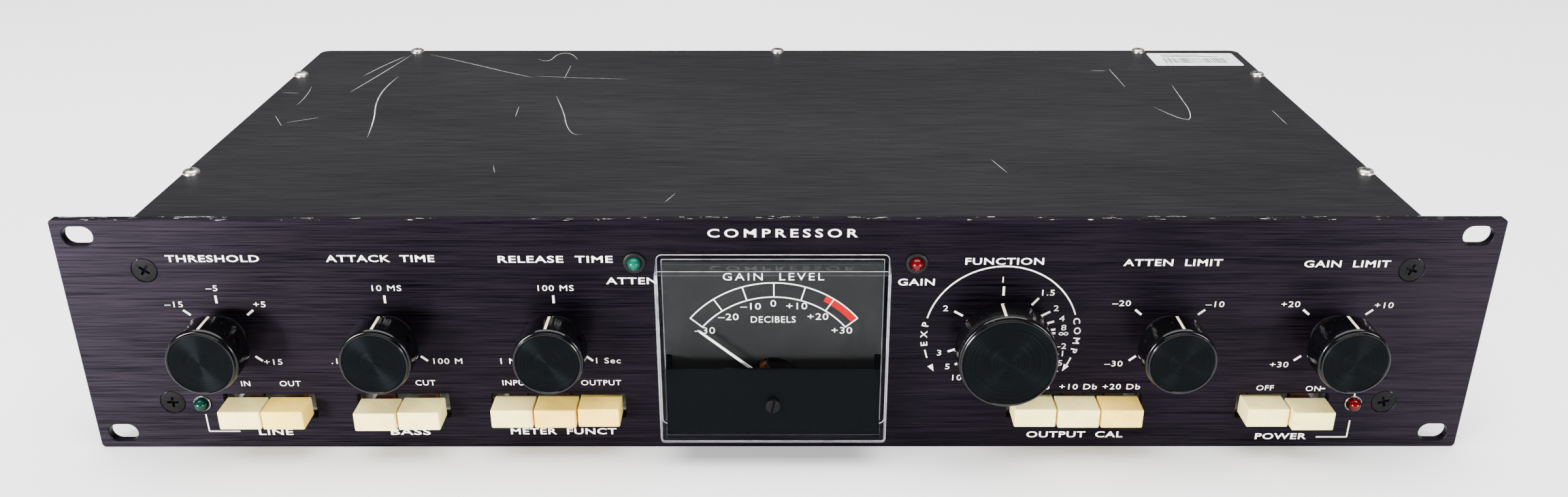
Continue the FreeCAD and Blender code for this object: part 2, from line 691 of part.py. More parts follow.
def meter_needle():
    blade_y = FACE - 5.2
    blade = polygon_y((
        (METER_X - 0.55, PIVOT_Z + 1.0),
        (METER_X - 0.28, PIVOT_Z + NEEDLE_L),
        (METER_X + 0.28, PIVOT_Z + NEEDLE_L),
        (METER_X + 0.55, PIVOT_Z + 1.0),
    ), blade_y - 0.2, blade_y + 0.2)
    tail = polygon_y((
        (METER_X - 0.9, PIVOT_Z - 1.0),
        (METER_X - 0.9, PIVOT_Z - 6.0),
        (METER_X + 0.9, PIVOT_Z - 6.0),
        (METER_X + 0.9, PIVOT_Z - 1.0),
    ), blade_y - 0.5, blade_y + 0.5)
    hub = rod_y(METER_X, PIVOT_Z, 1.6, FACE - 6.2, FACE - 4.4)
    pivot = rod_y(METER_X, PIVOT_Z, 0.6, FACE - 7.6, 13.0)
    needle = fuse_all([blade, tail, hub])
    needle = turn_about(needle.cut(pivot), METER_X, PIVOT_Z, NEEDLE_REST)
    half_w = 1.3
    loop = box(METER_X - half_w, METER_X + half_w, FACE - 3.6, 10.8, PIVOT_Z - COIL_R, PIVOT_Z + COIL_R)
    inside = box(METER_X - 3, METER_X + 3, FACE - 1.9, 9.3, PIVOT_Z - COIL_R + 1.2, PIVOT_Z + COIL_R - 1.2)
    coil = turn_about(loop.cut(inside), METER_X, PIVOT_Z, COIL_ANGLE).cut(pivot)
    save("meter_needle", [needle, coil, pivot])


def meter_zero_screw():
    front = FACE - METER_PROUD
    head = rod_y(METER_X, ZERO_SCREW_Z, ZERO_SCREW_R, front - 0.5, front + METER_WALL)
    shank = rod_y(METER_X, ZERO_SCREW_Z, 1.2, front + METER_WALL, FACE - 8.6)
    slot = block(METER_X, front - 0.5, ZERO_SCREW_Z, 0.8, 2.0, 2 * ZERO_SCREW_R + 1)
    slot = turn_about(slot, METER_X, ZERO_SCREW_Z, 12)
    save("meter_zero_screw", [head.fuse(shank).cut(slot)])


# ---------- rear connectors ----------
SOCKET_W = 26.0
SOCKET_H = 31.0
SOCKET_FLANGE_T = 2.0
SOCKET_CAN_R = 11.8
SOCKET_MOUTH_R = 9.6
SOCKET_DEPTH = 22.0
SOCKET_PIN_SPOTS = ((-3.7, 2.1), (3.7, 2.1), (0.0, -3.9))
STRIP_SCREWS = 6
STRIP_PITCH = 9.5
STRIP_Z = 8.0
STRIP_H = 22.0
FUSE_Z = 8.0
INLET_Z = 6.0


def rear_cutouts():
    through = (REAR_IN - 1, CASE_D + 1)
    return [
        rod_y(INPUT_X, SOCKET_Z, SOCKET_CAN_R + 0.2, *through),
        rod_y(OUTPUT_X, SOCKET_Z, SOCKET_CAN_R + 0.2, *through),
        block(STRIP_X, REAR_Y, STRIP_Z, STRIP_PITCH * STRIP_SCREWS - 6, REAR_T + 2, 8),
        rod_y(FUSE_X, FUSE_Z, 6.6, *through),
        block(INLET_X, REAR_Y, INLET_Z, 28.4, REAR_T + 2, 20.4),
    ]


def socket_shell(x):
    outer = CASE_D + SOCKET_FLANGE_T
    flange = rounded_plate_y(x, SOCKET_Z, SOCKET_W, SOCKET_H, 2.5, CASE_D, outer)
    can = rod_y(x, SOCKET_Z, SOCKET_CAN_R, outer - SOCKET_DEPTH - 4, CASE_D)
    shell = flange.fuse(can)
    screws = []
    for side in (-1, 1):
        screws.append(rod_y(x + side * 9.5, SOCKET_Z + side * 12, 1.6, CASE_D - 1, outer + 1))
    return cut_all(shell, screws), outer


def audio_sockets():
    shell, outer = socket_shell(INPUT_X)
    groove = rod_y(INPUT_X, SOCKET_Z, SOCKET_MOUTH_R, outer - 15, outer + 1)
    core = rod_y(INPUT_X, SOCKET_Z, 8.2, outer - 15, outer - 0.4)
    for px, pz in SOCKET_PIN_SPOTS:
        core = core.cut(rod_y(INPUT_X + px, SOCKET_Z + pz, 1.5, outer - 13, outer + 1))
    latch = block(INPUT_X, outer + 0.6, SOCKET_Z + 12.6, 8, 1.2, 4)
    save("input_socket", [shell.cut(groove), core, latch])
    shell, outer = socket_shell(OUTPUT_X)
    mouth = rod_y(OUTPUT_X, SOCKET_Z, SOCKET_MOUTH_R, outer - 15, outer + 1)
    pins = []
    for px, pz in SOCKET_PIN_SPOTS:
        pins.append(rod_y(OUTPUT_X + px, SOCKET_Z + pz, 1.2, outer - 15, outer - 2))
    save("output_socket", [shell.cut(mouth)] + pins)


def barrier_strip():
    length = STRIP_PITCH * STRIP_SCREWS + 12
    base = block(STRIP_X, CASE_D + 2.5, STRIP_Z, length, 5, STRIP_H)
    walls = []
    screws = []
    for i in range(STRIP_SCREWS + 1):
        x = STRIP_X + STRIP_PITCH * (i - STRIP_SCREWS / 2)
        walls.append(block(x, CASE_D + 8, STRIP_Z, 1.6, 6, STRIP_H))
    for i in range(STRIP_SCREWS):
        x = STRIP_X + STRIP_PITCH * (i + 0.5 - STRIP_SCREWS / 2)
        for row in (-1, 1):
            z = STRIP_Z + 5.5 * row
            head = rod_y(x, z, 2.8, CASE_D + 5.6, CASE_D + 7.4)
            head = head.cut(block(x, CASE_D + 7.4, z, 6, 1.2, 0.8))
            plate = block(x, CASE_D + 5.3, z, 7, 0.6, 8)
            screws.append(fuse_all([head, plate]))
    tongue = block(STRIP_X, REAR_Y + 0.01, STRIP_Z, STRIP_PITCH * STRIP_SCREWS - 8, REAR_T, 6)
    save("barrier_strip", [fuse_all([base, tongue] + walls)])
    save("strip_screws", screws)


def fuse_holder():
    flange = rod_y(FUSE_X, FUSE_Z, 9.0, CASE_D, CASE_D + 2)
    tube = rod_y(FUSE_X, FUSE_Z, 6.5, CASE_D - 36, CASE_D)
    bore = rod_y(FUSE_X, FUSE_Z, 5.2, CASE_D - 34, CASE_D + 3)
    nut = hexagon_y(FUSE_X, FUSE_Z, 17.0, REAR_IN - 3, REAR_IN).cut(rod_y(FUSE_X, FUSE_Z, 6.55, 0, CASE_D))
    save("fuse_holder", [flange.fuse(tube).cut(bore), nut])
    cap_head = rod_y(FUSE_X, FUSE_Z, 6.8, CASE_D + 2.3, CASE_D + 11)
    for step in range(12):
        rib = rod_y(FUSE_X + 6.9, FUSE_Z, 0.6, CASE_D + 3, CASE_D + 12)
        cap_head = cap_head.cut(turn_about(rib, FUSE_X, FUSE_Z, 30 * step))
    stem = rod_y(FUSE_X, FUSE_Z, 4.8, CASE_D - 8, CASE_D + 2.3)
    slot = block(FUSE_X, CASE_D + 11, FUSE_Z, 10, 2.4, 1.2)
    fuse = rod_y(FUSE_X, FUSE_Z, 3.2, CASE_D - 33, CASE_D - 8)
    save("fuse_cap", [cap_head.fuse(stem).cut(slot), fuse])


def mains_inlet():
    outer = CASE_D + 3
    flange = polygon_y((
        (INLET_X - 25, INLET_Z),
        (INLET_X - 15, INLET_Z + 12),
        (INLET_X + 15, INLET_Z + 12),
        (INLET_X + 25, INLET_Z),
        (INLET_X + 15, INLET_Z - 12),
        (INLET_X - 15, INLET_Z - 12),
    ), CASE_D, outer)
    can = block(INLET_X, CASE_D - 9, INLET_Z, 28, 18, 20)
    well = polygon_y((
        (INLET_X - 12.1, INLET_Z - 8.2),
        (INLET_X - 12.1, INLET_Z + 4.4),
        (INLET_X - 8.3, INLET_Z + 8.2),
        (INLET_X + 8.3, INLET_Z + 8.2),
        (INLET_X + 12.1, INLET_Z + 4.4),
        (INLET_X + 12.1, INLET_Z - 8.2),
    ), outer - 16, outer + 1)
    holes = [rod_y(INLET_X + side * 20, INLET_Z, 1.7, CASE_D - 1, outer + 1) for side in (-1, 1)]
    shell = cut_all(flange.fuse(can), [well] + holes)
    blades = []
    for px, pz in ((-7, -2), (7, -2), (0, 2)):
        blades.append(block(INLET_X + px, outer - 9.5, INLET_Z + pz, 2, 13, 4))
    save("mains_inlet", [shell] + blades)


# ---------- inside the case ----------
BOARD_X0 = -198.0
BOARD_X1 = 92.0
BOARD_Y0 = 46.0
BOARD_Y1 = 166.0
BOARD_T = 1.6
STANDOFF_H = 9.0
BOARD_TOP = -INNER_Z + STANDOFF_H + BOARD_T
TRANSFORMER_X = 150.0
TRANSFORMER_Y = 105.0
CORE_W = 57.0
CORE_D = 30.0
CORE_H = 48.0
LEG_W = 19.0
LIMB_W = 9.5


def main_board():
    board = box(BOARD_X0, BOARD_X1, BOARD_Y0, BOARD_Y1, BOARD_TOP - BOARD_T, BOARD_TOP)
    posts = []
    for x in (BOARD_X0 + 8, (BOARD_X0 + BOARD_X1) / 2, BOARD_X1 - 8):
        for y in (BOARD_Y0 + 8, BOARD_Y1 - 8):
            board = board.cut(rod_z(x, y, 1.6, -INNER_Z, 0))
            post = rod_z(x, y, 3.0, -INNER_Z, BOARD_TOP - BOARD_T)
            stud = rod_z(x, y, 1.5, BOARD_TOP - BOARD_T, BOARD_TOP + 2.5)
            posts.append(post.fuse(stud).removeSplitter())
    save("main_board", [board])
    save("board_standoffs", posts)


def board_parts():
    chips = []
    for row in range(4):
        for column in range(7):
            x = BOARD_X0 + 30 + 30 * column
            y = BOARD_Y0 + 24 + 24 * row
            chip = block(x, y, BOARD_TOP + 2.5, 19, 6.4, 3.4)
            chip = chip.cut(rod_z(x - 9.5, y, 1.0, BOARD_TOP + 3, BOARD_TOP + 5))
            legs = block(x, y, BOARD_TOP + 0.4, 17, 7.6, 0.8)
            chips.append(chip.fuse(legs).removeSplitter())
    cans = []
    for column in range(7):
        for row in (0, 1, 3):
            x = BOARD_X0 + 45 + 30 * column
            y = BOARD_Y0 + 24 + 24 * row
            cans.append(rod_z(x, y, 3.2, BOARD_TOP, BOARD_TOP + 11))
    for x in (BOARD_X1 - 28, BOARD_X1 - 28 - 2 * 15):
        cans.append(rod_z(x, BOARD_Y1 - 22, 12.5, BOARD_TOP, BOARD_TOP + 42))
    save("board_capacitors", [c for c in cans if not near_big_can(c)])
    for row in range(5):
        for column in range(12):
            x = BOARD_X0 + 24 + 16.5 * column
            y = BOARD_Y0 + 12 + 24 * row
            chips.append(rod_x(y, BOARD_TOP + 1.3, 1.2, x, x + 6.5))
    save("board_components", chips)


def near_big_can(can):
    """Small cans leave room for the two big smoothing capacitors."""
    small = can.BoundBox.XLength < 10
    centre = can.BoundBox.Center
    return small and centre.x > BOARD_X1 - 75 and centre.y > BOARD_Y1 - 40


def transformer():
    x, y = TRANSFORMER_X, TRANSFORMER_Y
    z = -INNER_Z + 2 + CORE_H / 2
    core = block(x, y, z, CORE_W, CORE_D, CORE_H)
    window_w = (CORE_W - LEG_W - 2 * LIMB_W) / 2
    window_h = CORE_H - 2 * LIMB_W
    for side in (-1, 1):
        window_x = x + side * (LEG_W + window_w) / 2
        core = core.cut(block(window_x, y, z, window_w, CORE_D + 2, window_h))
    foot = block(x, y, -INNER_Z + 1, CORE_W + 24, CORE_D - 6, 2)
    save("transformer_core", [core, foot])
    coil = block(x, y, z, LEG_W + 2 * window_w - 0.6, CORE_D + 18, window_h - 0.6)
    coil = coil.cut(block(x, y, z, LEG_W + 0.4, CORE_D + 0.4, window_h + 2))
    save("transformer_coil", [coil])


def heatsink():
    x0, x1 = 12.0, 62.0
    fins = [box(x0, x1, REAR_IN - 4, REAR_IN, -14, 30)]
    count = 8
    for i in range(count):
        x = x0 + 1 + (x1 - x0 - 2) * i / (count - 1)
        fins.append(box(x - 0.8, x + 0.8, REAR_IN - 18, REAR_IN - 4, 8, 30))
    save("heatsink", [fuse_all(fins)])
    regulators = []
    for x in (x0 + 12, x1 - 12):
        tab = box(x - 5, x + 5, REAR_IN - 5.2, REAR_IN - 4, -10, 6)
        tab = tab.cut(rod_y(x, 3, 1.7, REAR_IN - 8, REAR_IN))
        body = box(x - 5, x + 5, REAR_IN - 8.5, REAR_IN - 5.2, -10, -1)
        regulators.append(tab.fuse(body).removeSplitter())
        for lead in (-1, 0, 1):
            regulators.append(block(x + 2.54 * lead, REAR_IN - 6.8, -14, 0.8, 0.6, 8))
    save("regulators", regulators)


def wiring():
    looms = []
    lug_z = KNOB_Z - POT_R - 4
    landings = (-184, -129, -74, 74, 66, 58)
    crossings = (-13, -13, -13, -13, -8, -3)
    for (x, radius, angle), land_x, cross_z in zip(KNOBS.values(), landings, crossings):
        looms.append(bent_tube([
            V(x, 11, lug_z),
            V(x, 26, lug_z),
            V(land_x, 42, cross_z),
            V(land_x, 54, BOARD_TOP + 9),
            V(land_x, 54, BOARD_TOP),
        ], 1.4, 3.0))
    looms.append(bent_tube([
        V(177, 38, CAP_Z),
        V(177, 60, CAP_Z),
        V(186, 84, CAP_Z + 8),
        V(186, 150, CAP_Z + 12),
        V(160, 166, INLET_Z),
        V(152, 176, INLET_Z),
        V(152, CASE_D - 18, INLET_Z),
    ], 2.2, 8.0))
    looms.append(bent_tube([
        V(TRANSFORMER_X - 10, TRANSFORMER_Y + 26, -6),
        V(TRANSFORMER_X - 22, TRANSFORMER_Y + 44, 0),
        V(TRANSFORMER_X - 42, TRANSFORMER_Y + 50, 2),
        V(BOARD_X1 - 8, BOARD_Y1 - 26, BOARD_TOP + 10),
        V(BOARD_X1 - 8, BOARD_Y1 - 26, BOARD_TOP),
    ], 2.2, 5.0))
    for x in (INPUT_X, OUTPUT_X):
        looms.append(bent_tube([
            V(x, CASE_D - 25, SOCKET_Z),
            V(x, CASE_D - 36, SOCKET_Z),
            V(x + 8, BOARD_Y1 - 5, -8),
            V(x + 8, BOARD_Y1 - 5, BOARD_TOP),
        ], 1.8, 5.0))
    save("wiring_loom", looms)


front_panel()
panel_screws()
case()
for name in KNOBS:
    knob(name)
    shaft(name)
potentiometers()
for bank, (centre, caps) in BANKS.items():
    for (name, proud), x in zip(caps, bank_caps(bank)):
        button(name, x, proud)
switch_banks()
lamps()
meter_case()
meter_cover()
meter_mask()
meter_dial()
meter_movement()
meter_needle()
meter_zero_screw()
audio_sockets()
barrier_strip()
fuse_holder()
mains_inlet()
main_board()
board_parts()
transformer()
heatsink()
wiring()
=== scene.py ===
import json
import math

import bmesh
import bpy
from bpy.props import FloatProperty, FloatVectorProperty, IntProperty, PointerProperty
from mathutils.geometry import delaunay_2d_cdt
from mathutils import Euler, Matrix, Vector

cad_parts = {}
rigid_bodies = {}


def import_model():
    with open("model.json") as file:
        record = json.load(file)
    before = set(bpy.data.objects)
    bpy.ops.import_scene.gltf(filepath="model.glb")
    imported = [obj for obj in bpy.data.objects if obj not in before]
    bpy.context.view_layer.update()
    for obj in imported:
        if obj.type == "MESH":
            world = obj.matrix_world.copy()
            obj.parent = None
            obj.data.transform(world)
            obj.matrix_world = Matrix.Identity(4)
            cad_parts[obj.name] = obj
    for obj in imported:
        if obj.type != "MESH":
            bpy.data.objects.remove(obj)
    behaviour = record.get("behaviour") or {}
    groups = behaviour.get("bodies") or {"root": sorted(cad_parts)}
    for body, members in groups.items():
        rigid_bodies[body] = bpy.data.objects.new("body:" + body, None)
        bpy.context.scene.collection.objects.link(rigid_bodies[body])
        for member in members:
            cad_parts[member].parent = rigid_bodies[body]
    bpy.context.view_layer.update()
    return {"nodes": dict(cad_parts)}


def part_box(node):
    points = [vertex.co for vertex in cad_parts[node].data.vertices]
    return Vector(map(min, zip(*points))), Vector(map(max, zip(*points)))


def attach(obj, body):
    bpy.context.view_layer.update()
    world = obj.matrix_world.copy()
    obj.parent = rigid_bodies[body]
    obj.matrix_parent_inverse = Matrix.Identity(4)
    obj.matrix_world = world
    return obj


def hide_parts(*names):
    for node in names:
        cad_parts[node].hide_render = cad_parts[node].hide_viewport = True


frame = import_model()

bl_info = {
    "name": "Rack compressor",
    "version": (1, 0, 0),
    "blender": (4, 5, 0),
    "location": "3D View > Sidebar > Compressor",
    "description": "Finished pieces and materials of a two-unit rack compressor",
    "category": "Object",
}

# Pieces are modelled in millimetres in the frame's axes, and turned into metres when they are placed.
MM = 0.001


# ---------- what the frame gives ----------
def mm_box(node):
    """Low and high corner of a CAD node's box, in millimetres."""
    low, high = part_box(node)
    return low / MM, high / MM


def solids_of(node, smallest=0.0):
    """Low and high corner of each separate solid in a CAD node, left to right, at least smallest wide."""
    bm = bmesh.new()
    bm.from_mesh(frame["nodes"][node].data)
    bmesh.ops.remove_doubles(bm, verts=bm.verts, dist=1e-6)
    unseen = set(bm.verts)
    found = []
    while unseen:
        group = [unseen.pop()]
        for vert in group:
            for edge in vert.link_edges:
                other = edge.other_vert(vert)
                if other in unseen:
                    unseen.remove(other)
                    group.append(other)
        low = Vector([min(v.co[i] for v in group) for i in range(3)]) / MM
        high = Vector([max(v.co[i] for v in group) for i in range(3)]) / MM
        if high.x - low.x >= smallest:
            found.append((low, high))
    bm.free()
    return sorted(found, key=lambda ends: (round(ends[0].x), round(ends[0].z), round(ends[0].y)))


def middle(ends):
    return (ends[0] + ends[1]) / 2


PANEL_LOW, PANEL_HIGH = mm_box("front_panel")
FACE = PANEL_LOW.y
COVER_HIGH = mm_box("top_cover")[1]
FLOOR_Z = PANEL_LOW.z
KNOBS = ("threshold", "attack", "release", "function", "atten_limit", "gain_limit")
BANKS = {
    "line": ("line_in", "line_out"),
    "bass": ("bass_normal", "bass_cut"),
    "meter": ("meter_input", "meter_gain", "meter_output"),
    "cal": ("cal_zero", "cal_ten", "cal_twenty"),
    "power": ("power_off", "power_on"),
}
POINTER_ANGLES = {
    "threshold": 2.0,
    "attack": 0.5,
    "release": -1.0,
    "function": -6.0,
    "atten_limit": -1.5,
    "gain_limit": -1.5,
}


def knob_centre(name):
    return middle(mm_box(name + "_knob"))


def srgb(red, green, blue):
    """Linear colour from the usual 0 to 255 values."""
    shares = [value / 255 for value in (red, green, blue)]
    return tuple(s / 12.92 if s <= 0.04045 else ((s + 0.055) / 1.055) ** 2.4 for s in shares)


def paint(name, words, red, green, blue):
    """A colour that a user would change."""
    return FloatVectorProperty(
        name=name, description=words, default=srgb(red, green, blue), subtype="COLOR", min=0, max=1)


def length(name, words, millimetres):
    return FloatProperty(name=name, description=words, default=millimetres * MM, min=0, unit="LENGTH")


class RackFinishes(bpy.types.PropertyGroup):
    """Colours of the compressor's surfaces"""
    panel_dark: paint("Panel, dark grain", "Black anodised front panel in its grain's valleys", 2, 1, 5)
    panel_light: paint("Panel, light grain", "Black anodised front panel on its grain's crests", 26, 21, 28)
    case_dark: paint("Case, dark grain", "Dark brushed covers in their grain's valleys", 6, 6, 7)
    case_light: paint("Case, light grain", "Dark brushed covers on their grain's crests", 29, 28, 30)
    bare_metal: paint("Bare metal", "Aluminium where the anodising is chipped or scratched", 205, 203, 200)
    ivory: paint("Ivory caps", "Push-button caps", 240, 224, 150)
    yellowed: paint("Yellowed caps", "Caps that have yellowed more", 240, 206, 92)
    ink: paint("Ink", "Legends printed on the panel and dial", 236, 234, 228)
    red_band: paint("Red band", "Top of the meter's scale", 152, 0, 14)


class RackSizes(bpy.types.PropertyGroup):
    """Sizes of the detail that the visual pieces add to the frame"""
    panel_chamfer: length("Panel chamfer", "Broken edges of the front panel and its holes", 0.25)
    cover_chamfer: length("Cover chamfer", "Broken edges of the case's plates", 0.2)
    cap_round: length("Cap rounding", "Rounded edges of the push-button caps", 0.55)
    ink_height: length("Ink height", "How far printed legends stand off the surface", 0.05)
    tick_width: length("Tick width", "Width of the marks round the knobs", 0.75)
    scratch_width: length("Scratch width", "Width of the widest scratches on the top cover", 0.5)
    segments: IntProperty(
        name="Segments", description="Sides of the turned pieces", default=96, min=12, max=256)


def size(name):
    """One of the sizes, in millimetres."""
    return getattr(bpy.context.scene.rack_sizes, name) / MM


def colour(name):
    return tuple(getattr(bpy.context.scene.rack_finishes, name))


def turn_about(degrees, axis):
    angles = [math.radians(degrees) if axis == name else 0 for name in "XYZ"]
    return Euler(angles).to_matrix().to_4x4()


# ---------- node trees ----------
def add(tree, kind, feeds=None, **settings):
    """Add a node. Feeds gives its inputs, by name or number, a value or another node's output."""
    node = tree.nodes.new(kind)
    for name, value in settings.items():
        setattr(node, name, value)
    for key, value in (feeds or {}).items():
        if isinstance(key, int):
            socket = node.inputs[key]
        else:
            socket = next(s for s in node.inputs if s.enabled and s.name == key)
        if isinstance(value, bpy.types.NodeSocket):
            tree.links.new(value, socket)
        else:
            socket.default_value = value
    return node


def result(node, name=None):
    return next(s for s in node.outputs if s.enabled and name in (None, s.name))


def maths(tree, operation, *values):
    return add(tree, "ShaderNodeMath", dict(enumerate(values)), operation=operation).outputs[0]


def recipe(name, inputs, build):
    """A Geometry Nodes tree with named inputs, whose build function returns its last geometry."""
    if name in bpy.data.node_groups:
        return bpy.data.node_groups[name]
    tree = bpy.data.node_groups.new(name, "GeometryNodeTree")
    tree.is_modifier = True
    tree.interface.new_socket(name="Geometry", in_out="INPUT", socket_type="NodeSocketGeometry")
    for label, kind in inputs.items():
        tree.interface.new_socket(name=label, in_out="INPUT", socket_type="NodeSocket" + kind)
    tree.interface.new_socket(name="Material", in_out="INPUT", socket_type="NodeSocketMaterial")
    tree.interface.new_socket(name="Geometry", in_out="OUTPUT", socket_type="NodeSocketGeometry")
    given = tree.nodes.new("NodeGroupInput").outputs
    last = build(tree, given)
    real = add(tree, "GeometryNodeRealizeInstances", {"Geometry": last})
    painted = add(tree, "GeometryNodeSetMaterial", {
        "Geometry": result(real), "Material": given["Material"]})
    add(tree, "NodeGroupOutput", {0: result(painted)})
    return tree


def grown(tree, finish, source=None, **values):
    """Run a Geometry Nodes tree and return what it makes as a plain mesh."""
    holder = bpy.data.objects.new("holder", source or bpy.data.meshes.new("nothing"))
    bpy.context.scene.collection.objects.link(holder)
    modifier = holder.modifiers.new("recipe", "NODES")
    modifier.node_group = tree
    values["Material"] = finish
    for item in tree.interface.items_tree:
        key = item.name.replace(" ", "_")
        if item.in_out == "INPUT" and key in values:
            modifier[item.identifier] = values[key]
    return evaluated_mesh(holder)


def lathe_tree(tree, given):
    """Turns the profile's points, as (radius, y), about the Y axis through the centre."""
    profile = add(tree, "GeometryNodeObjectInfo", {"Object": given["Profile"]})
    rows = result(add(tree, "GeometryNodeAttributeDomainSize",
                      {"Geometry": result(profile, "Geometry")}), "Point Count")
    columns = maths(tree, "ADD", given["Segments"], 1.0)
    grid = add(tree, "GeometryNodeMeshGrid", {"Vertices X": columns, "Vertices Y": rows})
    stored = add(tree, "GeometryNodeStoreNamedAttribute", {
        "Geometry": result(grid, "Mesh"), "Name": "UVMap", "Value": result(grid, "UV Map"),
    }, data_type="FLOAT2", domain="CORNER")
    index = result(add(tree, "GeometryNodeInputIndex"))
    row = maths(tree, "MODULO", index, rows)
    column = maths(tree, "FLOOR", maths(tree, "DIVIDE", maths(tree, "ADD", index, 0.5), rows))
    turn = maths(tree, "MULTIPLY", maths(tree, "DIVIDE", column, given["Segments"]), math.tau)
    place = add(tree, "GeometryNodeInputPosition")
    sample = add(tree, "GeometryNodeSampleIndex", {
        "Geometry": result(profile, "Geometry"), "Value": result(place), "Index": row,
    }, data_type="FLOAT_VECTOR")
    point = add(tree, "ShaderNodeSeparateXYZ", {0: result(sample)}).outputs
    across = maths(tree, "MULTIPLY", point[0], maths(tree, "SINE", turn))
    up = maths(tree, "MULTIPLY", point[0], maths(tree, "COSINE", turn))
    around = add(tree, "ShaderNodeCombineXYZ", {0: across, 1: point[1], 2: up}).outputs[0]
    moved = add(tree, "ShaderNodeVectorMath", {0: around, 1: given["Centre"]}, operation="ADD").outputs[0]
    placed = add(tree, "GeometryNodeSetPosition", {"Geometry": result(stored), "Position": moved})
    return result(add(tree, "GeometryNodeMergeByDistance", {"Geometry": result(placed), "Distance": 1e-4}))


def turned(x, z, profile, finish, segments=None):
    """Mesh of (radius, y) points turned about the Y axis through x and z."""
    outline = bpy.data.meshes.new("profile")
    outline.from_pydata([(r, y, 0) for r, y in profile], [(i, i + 1) for i in range(len(profile) - 1)], [])
    guide = bpy.data.objects.new("profile", outline)
    tree = recipe("Turned piece", {"Profile": "Object", "Segments": "Int", "Centre": "Vector"}, lathe_tree)
    count = segments or bpy.context.scene.rack_sizes.segments
    mesh = grown(tree, finish, Profile=guide, Segments=count, Centre=(x, 0, z))
    bpy.data.objects.remove(guide)
    return mesh


def repeat_tree(tree, given):
    """Puts the piece at each point, turned and sized by the points' own attributes."""
    shape = add(tree, "GeometryNodeObjectInfo", {"Object": given["Piece"], "As Instance": True})
    turns = add(tree, "GeometryNodeInputNamedAttribute", {"Name": "turn"}, data_type="FLOAT_VECTOR")
    sizes = add(tree, "GeometryNodeInputNamedAttribute", {"Name": "size"}, data_type="FLOAT_VECTOR")
    turn = add(tree, "FunctionNodeEulerToRotation", {0: result(turns)})
    return result(add(tree, "GeometryNodeInstanceOnPoints", {
        "Points": given["Geometry"], "Instance": result(shape, "Geometry"),
        "Rotation": result(turn), "Scale": result(sizes),
    }))


def repeated(mesh, spots, finish):
    """One mesh with a copy of mesh at each spot: (place, Euler turn in degrees, size along each axis)."""
    points = bpy.data.meshes.new("spots")
    points.from_pydata([spot[0] for spot in spots], [], [])
    for name, column in (("turn", 1), ("size", 2)):
        values = points.attributes.new(name, "FLOAT_VECTOR", "POINT").data
        for value, spot in zip(values, spots):
            value.vector = [math.radians(a) for a in spot[1]] if column == 1 else spot[2]
    shape = bpy.data.objects.new("shape", mesh)
    made = grown(recipe("Repeated piece", {"Piece": "Object"}, repeat_tree), finish, points, Piece=shape)
    bpy.data.objects.remove(shape)
    return made


def arc_tree(tree, given):
    """Flat band along an arc that faces -Y; angles run clockwise from the top."""
    start = maths(tree, "SUBTRACT", math.pi / 2, given["End"])
    sweep = maths(tree, "SUBTRACT", given["End"], given["Start"])
    arc = add(tree, "GeometryNodeCurveArc", {
        "Resolution": given["Points"], "Radius": given["Radius"],
        "Start Angle": start, "Sweep Angle": sweep})
    section = add(tree, "GeometryNodeCurvePrimitiveQuadrilateral", {
        "Width": given["Width"], "Height": given["Thickness"]})
    band = add(tree, "GeometryNodeCurveToMesh", {
        "Curve": result(arc), "Profile Curve": result(section), "Fill Caps": True})
    return result(add(tree, "GeometryNodeTransform", {
        "Geometry": result(band), "Translation": given["Centre"], "Rotation": (math.pi / 2, 0, 0)}))


def arc_band(centre, radius, start, end, width, finish):
    """Printed band from start to end, in degrees clockwise from the top."""
    tree = recipe("Printed arc", {
        "Centre": "Vector", "Radius": "Float", "Start": "Float", "End": "Float",
        "Width": "Float", "Thickness": "Float", "Points": "Int"}, arc_tree)
    return grown(
        tree, finish, Centre=centre, Radius=radius, Start=math.radians(start), End=math.radians(end),
        Width=width, Thickness=2 * size("ink_height"), Points=max(8, int((end - start) * radius / 30)))


def scratch_tree(tree, given):
    """Low ridge along each curve, widest halfway and pointed at both ends."""
    evened = add(tree, "GeometryNodeResampleCurve", {"Curve": given["Geometry"], "Count": given["Points"]})
    along = result(add(tree, "GeometryNodeSplineParameter"), "Factor")
    off_middle = maths(tree, "ABSOLUTE", maths(tree, "MULTIPLY_ADD", along, 2.0, -1.0))
    fullness = maths(tree, "SUBTRACT", 1.0, maths(tree, "POWER", off_middle, 3.0))
    section = add(tree, "GeometryNodeCurvePrimitiveCircle", {"Resolution": 6, "Radius": 1.0})
    ridge = add(tree, "GeometryNodeCurveToMesh", {
        "Curve": result(evened), "Profile Curve": result(section),
        "Scale": maths(tree, "MULTIPLY", fullness, given["Half width"])})
    flat = add(tree, "GeometryNodeTransform", {
        "Geometry": result(ridge), "Translation": given["Lift"], "Scale": (1, 1, 0.08)})
    return result(flat)


def scratches(paths, width, z, finish):
    """Shallow scratches along paths of (x, y) points on a level surface."""
    curve = bpy.data.curves.new("paths", "CURVE")
    curve.dimensions = "3D"
    for path in paths:
        spline = curve.splines.new("NURBS")
        spline.points.add(len(path) - 1)
        for point, (x, y) in zip(spline.points, path):
            point.co = (x, y, 0, 1)
        spline.order_u = min(3, len(path))
        spline.use_endpoint_u = True
    tree = recipe("Scratches", {"Half width": "Float", "Lift": "Vector", "Points": "Int"}, scratch_tree)
    return grown(tree, finish, curve, Half_width=width / 2, Lift=(0, 0, z), Points=24)


# ---------- solids in mesh code ----------
def circle(u, v, radius, count=48):
    """Outline of a round hole or disc that can grow by some amount."""
    def outline(grow):
        reach = radius + grow
        return [(u + reach * math.cos(math.tau * i / count), v + reach * math.sin(math.tau * i / count))
                for i in range(count)]
    return outline


